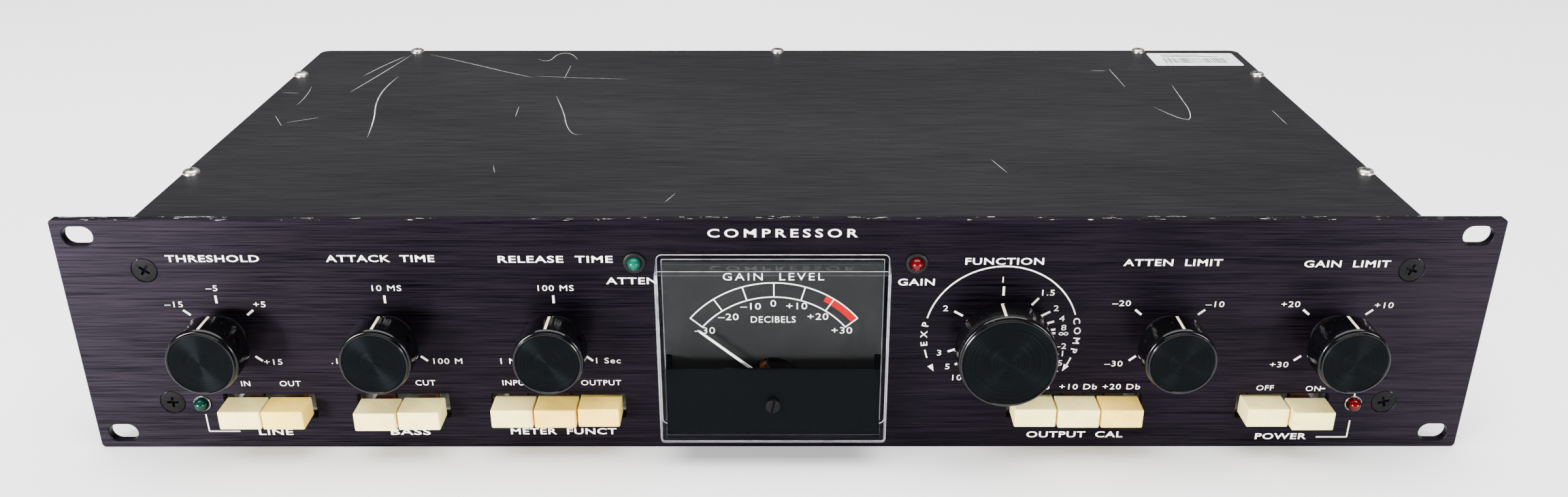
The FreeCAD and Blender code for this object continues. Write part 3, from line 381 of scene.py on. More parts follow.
def rounded(u, v, width, height, corner, steps=6, low_corner=None):
    """Outline of a rectangle with round corners that can grow by some amount."""
    def outline(grow):
        points = []
        for side_u, side_v, start in ((1, 1, 0), (-1, 1, 90), (-1, -1, 180), (1, -1, 270)):
            own = low_corner if side_v < 0 and low_corner is not None else corner
            reach = max(own + grow, 0.01)
            centre_u = u + side_u * (width / 2 + grow - reach)
            centre_v = v + side_v * (height / 2 + grow - reach)
            for step in range(steps + 1):
                turn = math.radians(start + 90 * step / steps)
                points.append((centre_u + reach * math.cos(turn), centre_v + reach * math.sin(turn)))
        return points
    return outline


def cross(u, v, reach, arm):
    """Outline of a cross-head driver recess that can grow by some amount."""
    def outline(grow):
        far, near = reach + grow, arm / 2 + grow
        quarter = [(far, -near), (far, near), (near, near)]
        points = []
        for turn in range(4):
            for du, dv in quarter:
                for _ in range(turn):
                    du, dv = -dv, du
                points.append((u + du, v + dv))
        return points
    return outline


LAYS = {
    "-Y": lambda u, v, depth: Vector((u, depth, v)),
    "Z": lambda u, v, depth: Vector((u, v, depth)),
    "X": lambda u, v, depth: Vector((depth, u, v)),
}


def encloses(path, point):
    """Whether a closed path of (u, v) goes round the point."""
    inside = False
    for (u0, v0), (u1, v1) in zip(path, path[1:] + path[:1]):
        if (v0 > point.y) != (v1 > point.y) and point.x < (u1 - u0) * (point.y - v0) / (v1 - v0) + u0:
            inside = not inside
    return inside


def filled(bm, rings):
    """Fill the flat area between an outer ring, given as (verts, path), and the rings of its holes."""
    verts, points, edges, owners = [], [], [], []
    for number, (ring, path) in enumerate(rings):
        first, count = len(points), len(ring)
        edges += [(first + i, first + (i + 1) % count) for i in range(count)]
        verts += ring
        points += [Vector(point) for point in path]
        owners += [number] * count
    made = delaunay_2d_cdt(points, edges, [], 1, 1e-5)
    for face in made[2]:
        corners = [made[3][corner][0] for corner in face]
        touched = {owners[i] for i in corners}
        centre = sum((points[i] for i in corners), Vector((0, 0))) / len(corners)
        if len(touched) > 1 or touched == {0} or not encloses(rings[touched.pop()][1], centre):
            bm.faces.new([verts[i] for i in corners])


def plate(outer, holes, near, far, chamfer, lay):
    """Plate with chamfered edges between two depths, cut through by its holes."""
    bm = bmesh.new()
    rims = {near: [], far: []}
    for outline, side in [(outer, -1)] + [(hole, 1) for hole in holes]:
        rings = []
        for depth, grow in ((near, chamfer), (near + chamfer, 0), (far - chamfer, 0), (far, chamfer)):
            rings.append([bm.verts.new(LAYS[lay](u, v, depth)) for u, v in outline(side * grow)])
        count = len(rings[0])
        for here, there in zip(rings, rings[1:]):
            for i in range(count):
                bm.faces.new((here[i - 1], here[i], there[i], there[i - 1]))
        path = outline(side * chamfer)
        rims[near].append((rings[0], path))
        rims[far].append((rings[-1], path))
    for rim in rims.values():
        filled(bm, rim)
    return as_mesh(bm)


def as_mesh(bm):
    """Mesh of a bmesh, with its faces turned outwards; the bmesh is freed."""
    mesh = bpy.data.meshes.new("part")
    bmesh.ops.recalc_face_normals(bm, faces=bm.faces)
    bm.to_mesh(mesh)
    bm.free()
    return mesh


def block(low, high, rounding=0.0, steps=3):
    """Box between two corners with rounded edges."""
    bm = bmesh.new()
    bmesh.ops.create_cube(bm, size=1.0)
    low, high = Vector(low), Vector(high)
    for vert in bm.verts:
        vert.co = [low[i] + (vert.co[i] + 0.5) * (high[i] - low[i]) for i in range(3)]
    if rounding:
        bmesh.ops.bevel(bm, geom=bm.edges[:], offset=rounding, segments=steps, affect="EDGES", profile=0.5)
    return as_mesh(bm)


def joined(*meshes):
    """One mesh of several."""
    bm = bmesh.new()
    for mesh in meshes:
        bm.from_mesh(mesh)
    mesh = bpy.data.meshes.new("joined")
    bm.to_mesh(mesh)
    bm.free()
    return mesh


def evaluated_mesh(holder):
    """Plain mesh of what an object makes in the scene; the object is removed."""
    bpy.context.view_layer.update()
    made = bpy.data.meshes.new_from_object(holder.evaluated_get(bpy.context.evaluated_depsgraph_get()))
    bpy.data.objects.remove(holder)
    return made


def cut_by(mesh, tool):
    """The mesh with the tool's solid taken out."""
    scene = bpy.context.scene.collection.objects
    target = bpy.data.objects.new("target", mesh)
    cutter = bpy.data.objects.new("cutter", tool)
    scene.link(target)
    scene.link(cutter)
    modifier = target.modifiers.new("cut", "BOOLEAN")
    modifier.operation = "DIFFERENCE"
    modifier.solver = "EXACT"
    modifier.object = cutter
    made = evaluated_mesh(target)
    bpy.data.objects.remove(cutter)
    return made


CAPITAL_SHARE = 0.682          # height of a capital letter over the font's size


def lettering(text, x, z, height, lift=None, stretch=1.0, weight=0.0, turn=0.0, spacing=1.0, width=None):
    """Letters that face the front, centred at x and z, height millimetres tall and width wide if given."""
    curve = bpy.data.curves.new("letters", "FONT")
    curve.body = text
    curve.align_x = "CENTER"
    curve.size = height / CAPITAL_SHARE
    curve.offset = weight
    curve.space_character = spacing
    curve.resolution_u = 3
    curve.extrude = size("ink_height")
    holder = bpy.data.objects.new("letters", curve)
    bpy.context.scene.collection.objects.link(holder)
    mesh = evaluated_mesh(holder)
    if width:
        reach = [vert.co.x for vert in mesh.vertices]
        stretch = width / (max(reach) - min(reach))
    lower = Matrix.Translation((0, -height / 2, 0))
    wide = Matrix.Diagonal((stretch, 1, 1, 1))
    upright = turn_about(90, "X")
    turned_by = turn_about(turn, "Y")
    place = Matrix.Translation((x, FACE if lift is None else lift, z))
    mesh.transform(place @ turned_by @ upright @ wide @ lower)
    return mesh


def bar(x0, z0, x1, z1, width, y=None):
    """Thin printed line between two points on the panel."""
    span = Vector((x1 - x0, z1 - z0))
    y = FACE if y is None else y
    rise = size("ink_height")
    mesh = block((-width / 2, y - rise, -span.length / 2), (width / 2, y + rise, span.length / 2))
    turn = Euler((0, math.atan2(span.x, span.y), 0)).to_matrix().to_4x4()
    mesh.transform(Matrix.Translation(((x0 + x1) / 2, 0, (z0 + z1) / 2)) @ turn)
    return mesh


def flat_uv(bm):
    """UV map in metres whose U runs along X, so that brushed metal knows its grain."""
    layer = bm.loops.layers.uv.new("UVMap")
    for face in bm.faces:
        main = max(range(3), key=lambda i: abs(face.normal[i]))
        u, v = ((1, 2), (0, 2), (0, 1))[main]
        for loop in face.loops:
            loop[layer].uv = (loop.vert.co[u], loop.vert.co[v])


def piece(name, mesh, body, finish, replaces=(), sharp=30.0, brushed_along_x=False):
    """Place a mesh as a finished piece that rides on a body."""
    bm = bmesh.new()
    bm.from_mesh(mesh)
    bmesh.ops.remove_doubles(bm, verts=bm.verts, dist=1e-4)
    bmesh.ops.recalc_face_normals(bm, faces=bm.faces)
    bmesh.ops.scale(bm, vec=(MM,) * 3, verts=bm.verts)
    for face in bm.faces:
        face.smooth = True
        face.material_index = 0
    for edge in bm.edges:
        edge.smooth = len(edge.link_faces) == 2 and edge.calc_face_angle(0) < math.radians(sharp)
    if brushed_along_x:
        flat_uv(bm)
    final = bpy.data.meshes.new(name)
    bm.to_mesh(final)
    bm.free()
    final.materials.append(finish)
    obj = bpy.data.objects.new(name, final)
    bpy.context.scene.collection.objects.link(obj)
    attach(obj, body)
    if replaces:
        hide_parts(*replaces)
    return obj


def dress(node, finish):
    """Give a CAD node that stays a finished material."""
    obj = frame["nodes"][node]
    if not obj.material_slots:
        obj.data.materials.append(finish)
    for place in obj.material_slots:
        place.material = finish


# ---------- materials ----------
def new_finish(name, constants=None):
    """An empty material; constants are set on the shader's own sockets."""
    made = bpy.data.materials.new(name)
    made.use_nodes = True
    shader = made.node_tree.nodes["Principled BSDF"]
    for key, value in (constants or {}).items():
        shader.inputs[key].default_value = (*value, 1) if isinstance(value, tuple) else value
    return made, made.node_tree, shader


def own_place(tree):
    return add(tree, "ShaderNodeTexCoord").outputs["Object"]


def grain(tree, scale, detail=3.0, rough=0.55):
    """Noise on the piece's own coordinates; scale is features per metre along X, Y and Z."""
    spread = add(tree, "ShaderNodeMapping", {"Vector": own_place(tree), "Scale": scale})
    return add(tree, "ShaderNodeTexNoise", {
        "Vector": spread.outputs[0], "Scale": 1.0, "Detail": detail, "Roughness": rough}).outputs[0]


def shades(tree, factor, *stops):
    """Colour ramp through (position, colour) stops."""
    node = add(tree, "ShaderNodeValToRGB", {"Fac": factor})
    elements = node.color_ramp.elements
    while len(elements) < len(stops):
        elements.new(0.5)
    for element, (position, tint) in zip(elements, stops):
        element.position = position
        element.color = (*tint, 1)
    return node.outputs["Color"]


def ranged(tree, factor, from_low, from_high, low=0.0, high=1.0):
    return add(tree, "ShaderNodeMapRange", {
        0: factor, 1: from_low, 2: from_high, 3: low, 4: high}).outputs[0]


def mixed(tree, factor, first, second):
    """Colour between two colours."""
    return result(add(tree, "ShaderNodeMix", {
        "Factor": factor, "A": first, "B": second}, data_type="RGBA"), "Result")


def bumped(tree, shader, height, depth):
    """Bump of the given depth in metres."""
    bump = add(tree, "ShaderNodeBump", {"Height": height, "Distance": depth})
    tree.links.new(bump.outputs[0], shader.inputs["Normal"])


def feed(tree, shader, **values):
    for key, value in values.items():
        tree.links.new(value, shader.inputs[key.replace("_", " ")])


def textured(name, dark, light, scale, rough, depth, constants=None):
    """Material whose fine and broad grain drives its colour, roughness and bump."""
    made, tree, shader = new_finish(name, constants)
    fine = grain(tree, scale)
    broad = grain(tree, tuple(s / 7 for s in scale), 2.0)
    both = maths(tree, "MULTIPLY_ADD", fine, 0.6, maths(tree, "MULTIPLY", broad, 0.4))
    feed(tree, shader, Base_Color=shades(tree, both, (0.35, dark), (0.65, light)),
         Roughness=ranged(tree, both, 0.35, 0.65, *rough))
    bumped(tree, shader, fine, depth)
    return made


def brushed(name, dark, light, rough, depth, wear_z=None, lay=True, constants=None):
    """Metal brushed along X, with bare chips along an edge at height wear_z."""
    made, tree, shader = new_finish(name, constants)
    fine = grain(tree, (60, 3600, 3600), 2.0)
    coarse = grain(tree, (34, 1700, 1700), 3.0)
    cloud = grain(tree, (7, 16, 20), 3.0)
    lines = maths(tree, "MULTIPLY_ADD", fine, 0.5, maths(tree, "MULTIPLY", coarse, 0.5))
    shade = maths(tree, "MULTIPLY_ADD", lines, 0.8, maths(tree, "MULTIPLY", cloud, 0.2))
    tint = shades(tree, shade, (0.38, dark), (0.62, light))
    roughness = ranged(tree, shade, 0.38, 0.62, *rough)
    if wear_z is not None:
        height = add(tree, "ShaderNodeSeparateXYZ", {0: own_place(tree)}).outputs["Z"]
        near = ranged(tree, height, (wear_z - 0.3) * MM, (wear_z - 0.12) * MM)
        flakes = ranged(tree, grain(tree, (120, 900, 900), 4.0, 0.75), 0.62, 0.66)
        tint = mixed(tree, maths(tree, "MULTIPLY", near, flakes), tint, (*colour("bare_metal"), 1))
    feed(tree, shader, Base_Color=tint, Roughness=roughness)
    bumped(tree, shader, lines, depth)
    if lay:
        along = add(tree, "ShaderNodeTangent", direction_type="UV_MAP", uv_map="UVMap")
        tree.links.new(along.outputs[0], shader.inputs["Tangent"])
    return made


def spun(name, dark, light):
    """Black disc turned on a lathe: its reflections fan out from the middle."""
    made, tree, shader = new_finish(name, {
        "Metallic": 0.6, "Anisotropic": 0.9, "Anisotropic Rotation": 0.25, "Specular IOR Level": 0.03})
    around = add(tree, "ShaderNodeUVMap", uv_map="UVMap").outputs[0]
    spread = add(tree, "ShaderNodeMapping", {"Vector": around, "Scale": (3, 90, 1)})
    rings = add(tree, "ShaderNodeTexNoise", {
        "Vector": spread.outputs[0], "Scale": 1.0, "Detail": 2.0}).outputs[0]
    feed(tree, shader, Base_Color=shades(tree, rings, (0.3, dark), (0.7, light)),
         Roughness=ranged(tree, rings, 0.3, 0.7, 0.26, 0.36))
    tangent = add(tree, "ShaderNodeTangent", direction_type="UV_MAP", uv_map="UVMap")
    tree.links.new(tangent.outputs[0], shader.inputs["Tangent"])
    return made


def dusted(name, base, rough, speck, constants=None):
    """Glossy moulded plastic with fine dust and light scuffs."""
    made, tree, shader = new_finish(name, constants)
    dust = ranged(tree, grain(tree, (1500, 1500, 1500), 1.0), 0.73, 0.8)
    scuffs = grain(tree, (60, 700, 300), 4.0)
    feed(tree, shader, Base_Color=mixed(tree, dust, (*base, 1), (*speck, 1)),
         Roughness=ranged(tree, scuffs, 0.35, 0.7, *rough))
    bumped(tree, shader, grain(tree, (220, 220, 220), 2.0), 6e-6)
    return made


def moulded_cap(name, base, aged):
    """Ivory button plastic, a little yellower in clouds, with faint rubs."""
    made, tree, shader = new_finish(name, {
        "Subsurface Weight": 0.08, "Subsurface Scale": 0.002, "IOR": 1.5})
    clouds = grain(tree, (90, 90, 140), 3.0)
    rubs = ranged(tree, grain(tree, (900, 500, 240), 3.0, 0.7), 0.6, 0.75, 0.0, 0.35)
    tint = mixed(tree, ranged(tree, clouds, 0.35, 0.7), (*base, 1), (*aged, 1))
    feed(tree, shader, Base_Color=mixed(tree, rubs, tint, (*srgb(150, 120, 74), 1)),
         Roughness=ranged(tree, clouds, 0.3, 0.7, 0.32, 0.46))
    bumped(tree, shader, grain(tree, (1400, 1400, 1400), 2.0), 8e-6)
    return made


def lens(name, core, rim):
    """Tinted lamp lens with a hard gloss; its colour is painted darker towards the rim, where the dome turns
    away from the viewer: a painted shade.
    """
    made, tree, shader = new_finish(name, {"IOR": 1.5, "Specular IOR Level": 0.2})
    slant = add(tree, "ShaderNodeLayerWeight", {"Blend": 0.4}).outputs["Facing"]
    clouds = grain(tree, (500, 500, 500), 2.0)
    # painted shade: lighter where the dome faces the viewer, darker towards its rim
    depth = maths(tree, "MULTIPLY_ADD", clouds, 0.2, slant)
    feed(tree, shader, Base_Color=shades(tree, depth, (0.1, core), (0.7, rim)),
         Roughness=ranged(tree, clouds, 0.3, 0.7, 0.06, 0.12))
    bumped(tree, shader, clouds, 1e-6)
    return made


def clear_pane(name, tint, shine):
    """Clear moulded plastic with hairline scuffs: what is behind shows through it."""
    made = bpy.data.materials.new(name)
    made.use_nodes = True
    tree = made.node_tree
    tree.nodes.remove(tree.nodes["Principled BSDF"])
    scuffs = grain(tree, (40, 300, 220), 4.0, 0.7)
    gloss = add(tree, "ShaderNodeBsdfGlossy", {
        "Color": (0.9, 0.92, 0.95, 1), "Roughness": ranged(tree, scuffs, 0.4, 0.7, 0.03, 0.06)})
    through = add(tree, "ShaderNodeBsdfTransparent", {"Color": (*tint, 1)})
    slant = add(tree, "ShaderNodeLayerWeight", {"Blend": 0.5}).outputs["Facing"]
    share = maths(tree, "MULTIPLY_ADD", maths(tree, "POWER", slant, 4.0), 0.45, shine)
    both = add(tree, "ShaderNodeMixShader", {
        0: share, 1: through.outputs[0], 2: gloss.outputs[0]})
    tree.links.new(both.outputs[0], tree.nodes["Material Output"].inputs["Surface"])
    return made


def circuit_board(name):
    """Green solder mask with tinned tracks under it."""
    made, tree, shader = new_finish(name, {"IOR": 1.5})
    place = own_place(tree)
    tracks = add(tree, "ShaderNodeTexBrick", {
        "Vector": place, "Scale": 110.0, "Mortar Size": 0.03, "Mortar Smooth": 0.1,
        "Color1": (*srgb(28, 92, 48), 1), "Color2": (*srgb(22, 78, 42), 1),
        "Mortar": (*srgb(84, 140, 84), 1)})
    clouds = grain(tree, (60, 60, 60), 3.0)
    tint = mixed(tree, ranged(tree, clouds, 0.4, 0.7, 0.0, 0.5), tracks.outputs[0], (*srgb(18, 60, 34), 1))
    feed(tree, shader, Base_Color=tint, Roughness=ranged(tree, clouds, 0.3, 0.7, 0.3, 0.5))
    bumped(tree, shader, tracks.outputs[1], 3e-5)
    return made


def banded(name, dark, light, per_metre, axis, rough, depth, constants=None):
    """Layers or turns that follow each other along one axis, as laminations and windings do."""
    made, tree, shader = new_finish(name, constants)
    along = add(tree, "ShaderNodeSeparateXYZ", {0: own_place(tree)}).outputs[axis]
    wave = maths(tree, "SINE", maths(tree, "MULTIPLY", along, math.tau * per_metre))
    noise = grain(tree, (300, 300, 300), 2.0)
    bands = maths(tree, "MULTIPLY_ADD", wave, 0.35, noise)
    feed(tree, shader, Base_Color=shades(tree, bands, (0.25, dark), (0.8, light)),
         Roughness=ranged(tree, noise, 0.3, 0.7, *rough))
    bumped(tree, shader, bands, depth)
    return made


METAL = {"Metallic": 1.0}
GRAINED = {
    # name: dark and light shade, features per metre, roughness, bump depth, the shader's own settings
    "black_screw": ((6, 6, 7), (14, 14, 15), 900, (0.35, 0.5), 1e-5, {"Specular IOR Level": 0.05}),
    "nickel": ((150, 148, 142), (214, 212, 206), 700, (0.22, 0.42), 8e-6, METAL),
    "bright_ring": ((120, 122, 124), (190, 192, 194), 900, (0.2, 0.35), 6e-6, METAL),
    "pointer_cream": ((190, 178, 140), (226, 218, 184), 900, (0.4, 0.6), 1e-5, None),
    "grub_steel": ((70, 50, 38), (124, 96, 74), 1200, (0.35, 0.6), 2e-5, {"Metallic": 0.8}),
    "plunger_brown": ((84, 36, 18), (140, 70, 34), (600, 300, 600), (0.35, 0.55), 1e-5, None),
    # painted highlight: grey for the lines that stand for glints along the meter cover's edges
    "piped_light": ((96, 98, 100), (168, 170, 172), 200, (0.2, 0.4), 1e-6, None),
    "dial_grey": ((21, 21, 21), (27, 27, 27), 500, (0.5, 0.65), 8e-6, {"Specular IOR Level": 0.06}),
    "brass": ((140, 108, 52), (202, 168, 96), 500, (0.25, 0.45), 1e-5, METAL),
    "magnet_steel": ((14, 14, 15), (30, 30, 32), 500, (0.35, 0.5), 1e-5,
                     {"Metallic": 0.4, "Specular IOR Level": 0.2}),
    "dark_plastic": ((12, 12, 14), (34, 34, 36), 900, (0.35, 0.55), 2e-5, {"Specular IOR Level": 0.3}),
    "lamp_clip": ((5, 5, 6), (13, 13, 14), 900, (0.3, 0.45), 6e-6, {"Specular IOR Level": 0.12}),
    "zinc": ((120, 120, 116), (176, 176, 172), 260, (0.3, 0.5), 1e-5, METAL),
    "switch_grey": ((96, 96, 92), (140, 140, 134), 500, (0.4, 0.6), 1e-5, None),
    "heatsink_black": ((12, 12, 13), (36, 36, 38), (80, 600, 600), (0.4, 0.6), 1e-5, {"Metallic": 0.5}),
    "wire": ((96, 18, 20), (150, 34, 34), 400, (0.4, 0.6), 1e-5, None),
    "label": ((196, 198, 198), (222, 224, 224), 300, (0.4, 0.6), 5e-6, None),
    "label_ink": ((60, 62, 66), (96, 98, 102), 500, (0.5, 0.7), 5e-6, None),
    "floor_paper": ((246, 246, 246), (250, 250, 250), 3, (0.75, 0.9), 0.0, None),
}
FINISHES = {
    # name: how it is made, when it is first asked for
    "anodised_black": lambda name: brushed(
        name, colour("panel_dark"), colour("panel_light"), (0.34, 0.5), 6e-6, PANEL_HIGH.z, True,
        {"Metallic": 0.7, "Anisotropic": 0.85, "Anisotropic Rotation": 0.25, "Specular IOR Level": 0.08}),
    "brushed_case": lambda name: brushed(
        name, colour("case_dark"), colour("case_light"), (0.38, 0.55), 6e-6, None, True,
        {"Metallic": 0.4, "Anisotropic": 0.7, "Anisotropic Rotation": 0.25, "Specular IOR Level": 0.15}),
    "brushed_plate": lambda name: brushed(
        name, colour("case_dark"), colour("case_light"), (0.38, 0.55), 6e-6, None, False,
        {"Metallic": 0.4, "Specular IOR Level": 0.15}),
    "bare_scratch": lambda name: textured(
        name, srgb(120, 118, 116), colour("bare_metal"), (300, 300, 300), (0.35, 0.6), 1e-5),
    "knob_gloss": lambda name: dusted(
        name, srgb(3, 3, 4), (0.1, 0.22), srgb(50, 52, 56), {"Specular IOR Level": 0.2}),
    "knob_disc": lambda name: spun(name, srgb(4, 5, 6), srgb(8, 11, 13)),
    "ivory": lambda name: moulded_cap(name, colour("ivory"), srgb(230, 208, 128)),
    "yellowed": lambda name: moulded_cap(name, colour("yellowed"), srgb(226, 186, 74)),
    # lens colours: first where the dome faces the viewer, then the painted shade at its rim
    "green_lens": lambda name: lens(name, srgb(0, 74, 56), srgb(0, 26, 22)),
    "dim_green_lens": lambda name: lens(name, srgb(0, 40, 34), srgb(0, 14, 14)),
    "red_lens": lambda name: lens(name, srgb(74, 0, 4), srgb(20, 0, 2)),
    "clear_cover": lambda name: clear_pane(name, (0.97, 0.975, 0.98), 0.0006),
    "clear_edge": lambda name: clear_pane(name, (0.8, 0.81, 0.82), 0.12),
    "meter_black": lambda name: dusted(
        name, srgb(2, 3, 4), (0.2, 0.27), srgb(16, 18, 20), {"Specular IOR Level": 0.02}),
    "ink_white": lambda name: textured(
        name, srgb(214, 212, 206), colour("ink"), (700, 700, 700), (0.5, 0.7), 8e-6),
    "ink_red": lambda name: textured(
        name, srgb(128, 0, 10), colour("red_band"), (700, 700, 700), (0.5, 0.7), 8e-6,
        {"Specular IOR Level": 0.03}),
    "copper": lambda name: banded(
        name, srgb(120, 52, 26), srgb(232, 140, 92), 4500, "X", (0.25, 0.4), 3e-5, METAL),
    "board_green": circuit_board,
    "can_blue": lambda name: banded(
        name, srgb(18, 40, 88), srgb(60, 90, 150), 90, "Z", (0.25, 0.45), 1e-5),
    "laminations": lambda name: banded(
        name, srgb(46, 46, 50), srgb(120, 120, 124), 1400, "Y", (0.4, 0.6), 5e-5, METAL),
    "winding": lambda name: banded(
        name, srgb(120, 60, 16), srgb(220, 140, 56), 1200, "Z", (0.3, 0.5), 6e-5),
}


def finish(name):
    """The named material, made the first time that it is asked for."""
    own = "rack_" + name
    made = bpy.data.materials.get(own)
    if made is None and name in GRAINED:
        dark, light, scale, *others = GRAINED[name]
        spread = scale if isinstance(scale, tuple) else (scale,) * 3
        made = textured(own, srgb(*dark), srgb(*light), spread, *others)
    return made or FINISHES[name](own)


# ---------- what the pieces share ----------
def around(x, z, radius, degrees):
    """Point on a circle, with angles clockwise from the top as seen from the front."""
    turn = math.radians(degrees)
    return x + radius * math.sin(turn), z + radius * math.cos(turn)


def swung(mesh, x, z, degrees):
    """Turn a mesh clockwise, as seen from the front, about the Y axis through x and z."""
    turn = turn_about(degrees, "Y")
    mesh.transform(Matrix.Translation((x, 0, z)) @ turn @ Matrix.Translation((-x, 0, -z)))
    return mesh


def ticks(x, z, angles, inner, outer, width, y, paint_with):
    """Printed marks that point away from a centre."""
    rise = size("ink_height")
    mark = block((-width / 2, -rise, -(outer - inner) / 2), (width / 2, rise, (outer - inner) / 2))
    spots = []
    for angle in angles:
        across, up = around(x, z, (inner + outer) / 2, angle)
        spots.append(((across, y, up), (0, angle, 0), (1, 1, 1)))
    return repeated(mark, spots, paint_with)


def crossed(profile, reach, arm, depth, segments=40):
    """Screw turned from its profile with its head facing -Y at y = 0, and a cross recess."""
    head = turned(0, 0, profile, finish("nickel"), segments)
    top = min(y for radius, y in profile)
    tool = plate(cross(0, 0, reach - 0.15, arm), [], top - 0.6, top + depth, 0.01, "-Y")
    return cut_by(head, tool)


FACING = {
    # turn in degrees that takes a head from -Y to each way
    "front": (0, 0, 0),
    "up": (-90, 0, 0),
    "down": (90, 0, 0),
    "right": (0, 0, 90),
    "left": (0, 0, -90),
}


def driven(mesh, places, paint_with):
    """A screw at each (place, way that its head faces), a little turned from one to the next."""
    spots = []
    for number, (place, way) in enumerate(places):
        spin = Euler((0, math.radians(37 * number % 90), 0)).to_matrix()
        lay = Euler([math.radians(a) for a in FACING[way]]).to_matrix()
        turn = [math.degrees(a) for a in (lay @ spin).to_euler()]
        spots.append((place, turn, (1, 1, 1)))
    return repeated(mesh, spots, paint_with)


# ---------- front panel ----------
BUSHING_R = 4.8
SLOT_LONG, SLOT_TALL = 10.3, 6.9
SLOT_X, SLOT_Z = 232.55, 38.1
PANEL_CORNER = 1.5
PANEL_SCREW_R = 4.2
LAMP_RING_LAP = 0.4             # how far a lamp's ring covers the panel round its hole
METER_HOLE_R = 28.5
CAP_LONG = 10.5
OPENING_GAP = 1.3               # round a bank of caps


def cap_box(name):
    """Low and high corner of a button's cap, without its plunger."""
    low, high = mm_box(name + "_button")
    return low, Vector((high.x, low.y + CAP_LONG, high.z))


def bank_opening(names):
    """Middle x, middle z, width and height of a bank's opening."""
    low, high = cap_box(names[0])[0], cap_box(names[-1])[1]
    width = high.x - low.x + 2 * OPENING_GAP
    return (low.x + high.x) / 2, (low.z + high.z) / 2, width, high.z - low.z + 2 * OPENING_GAP


class FrontPanel(bpy.types.Operator):
    """Front panel, with broken edges round its slots, screw holes and openings"""
    bl_idname = "rack.front_panel"
    bl_label = "Front panel"

    def execute(self, context):
        holes = [rounded(sx * SLOT_X, sz * SLOT_Z, SLOT_LONG, SLOT_TALL, SLOT_TALL / 2, 10)
                 for sx in (-1, 1) for sz in (-1, 1)]
        screws = solids_of("panel_screws")
        if len(screws) != 4:
            raise RuntimeError("the panel needs its four screws")
        places = [middle(ends) for ends in screws]
        holes += [circle(at.x, at.z, PANEL_SCREW_R + 0.1) for at in places]
        holes += [circle(knob_centre(name).x, knob_centre(name).z, BUSHING_R) for name in KNOBS]
        for names in BANKS.values():
            x, z, width, height = bank_opening(names)
            holes.append(rounded(x, z, width, height, 0.5, 4))
        for ends in solids_of("lamp_rings"):
            at = middle(ends)
            holes.append(circle(at.x, at.z, (ends[1].x - ends[0].x) / 2 - LAMP_RING_LAP))
        meter = middle(mm_box("meter_cover"))
        holes.append(circle(meter.x, meter.z, METER_HOLE_R, 96))
        wide, tall = PANEL_HIGH.x - PANEL_LOW.x, PANEL_HIGH.z - PANEL_LOW.z
        mesh = plate(rounded(0, 0, wide, tall, PANEL_CORNER), holes, FACE, 0, size("panel_chamfer"), "-Y")
        piece("front_panel_plate", mesh, "root", finish("anodised_black"), ["front_panel"],
              brushed_along_x=True)

        head = crossed([(0, 0.12), (3.6, 0.12), (4.1, 0.2), (PANEL_SCREW_R, 0.5), (2.0, 2.6), (2.0, 13.8),
                        (0, 13.8)], 2.2, 0.9, 1.3)
        mesh = driven(head, [((at.x, FACE, at.z), "front") for at in places], finish("black_screw"))
        piece("panel_screw_set", mesh, "root", finish("black_screw"), ["panel_screws"])
        return {"FINISHED"}


# half outlines as (radius, y), with the surface that the screw sits on at y = 0
PAN_HEAD = [(0, -1.6), (1.6, -1.58), (2.4, -1.4), (2.9, -0.95), (3.1, -0.4), (3.1, 0),
            (1.4, 0), (1.4, 7.9), (0, 7.9)]
FLAT_HEAD = [(0, 0), (3.05, 0), (3.2, 0.12), (1.6, 1.6), (1.6, 13.8), (0, 13.8)]
COVER_CORNER, COVER_FRONT_CORNER = 4.0, 0.4


class Case(bpy.types.Operator):
    """Covers with their pan-head screws, side plates and rear panel"""
    bl_idname = "rack.case"
    bl_label = "Case"

    def execute(self, context):
        steel = finish("brushed_case")
        for node in ("top_cover", "bottom_cover"):
            low, high = mm_box(node)
            at = middle((low, high))
            wide, long = high.x - low.x, high.y - low.y
            outline = rounded(at.x, at.y, wide, long, COVER_CORNER, 8, COVER_FRONT_CORNER)
            mesh = plate(outline, [], low.z, high.z, size("cover_chamfer"), "Z")
            piece(node + "_plate", mesh, "root", steel, [node], brushed_along_x=True)
        dress("side_plates", finish("brushed_plate"))
        dress("rear_panel", finish("brushed_plate"))

        pan = crossed(PAN_HEAD, 1.7, 0.8, 1.0)
        flat = crossed(FLAT_HEAD, 1.7, 0.8, 1.0)
        pans, flats = [], []
        for ends in solids_of("case_screws"):
            at = middle(ends)
            if ends[1].z > COVER_HIGH.z:
                pans.append(((at.x, at.y, COVER_HIGH.z), "up"))
            elif ends[0].z < -COVER_HIGH.z:
                pans.append(((at.x, at.y, -COVER_HIGH.z), "down"))
            elif at.x > 0:
                flats.append(((ends[1].x, at.y, at.z), "right"))
            else:
                flats.append(((ends[0].x, at.y, at.z), "left"))
        if not (pans and flats):
            raise RuntimeError("the case needs its cover screws and its side screws")
        mesh = joined(driven(pan, pans, finish("nickel")), driven(flat, flats, finish("nickel")))
        piece("case_screw_set", mesh, "root", finish("nickel"), ["case_screws"])
        return {"FINISHED"}


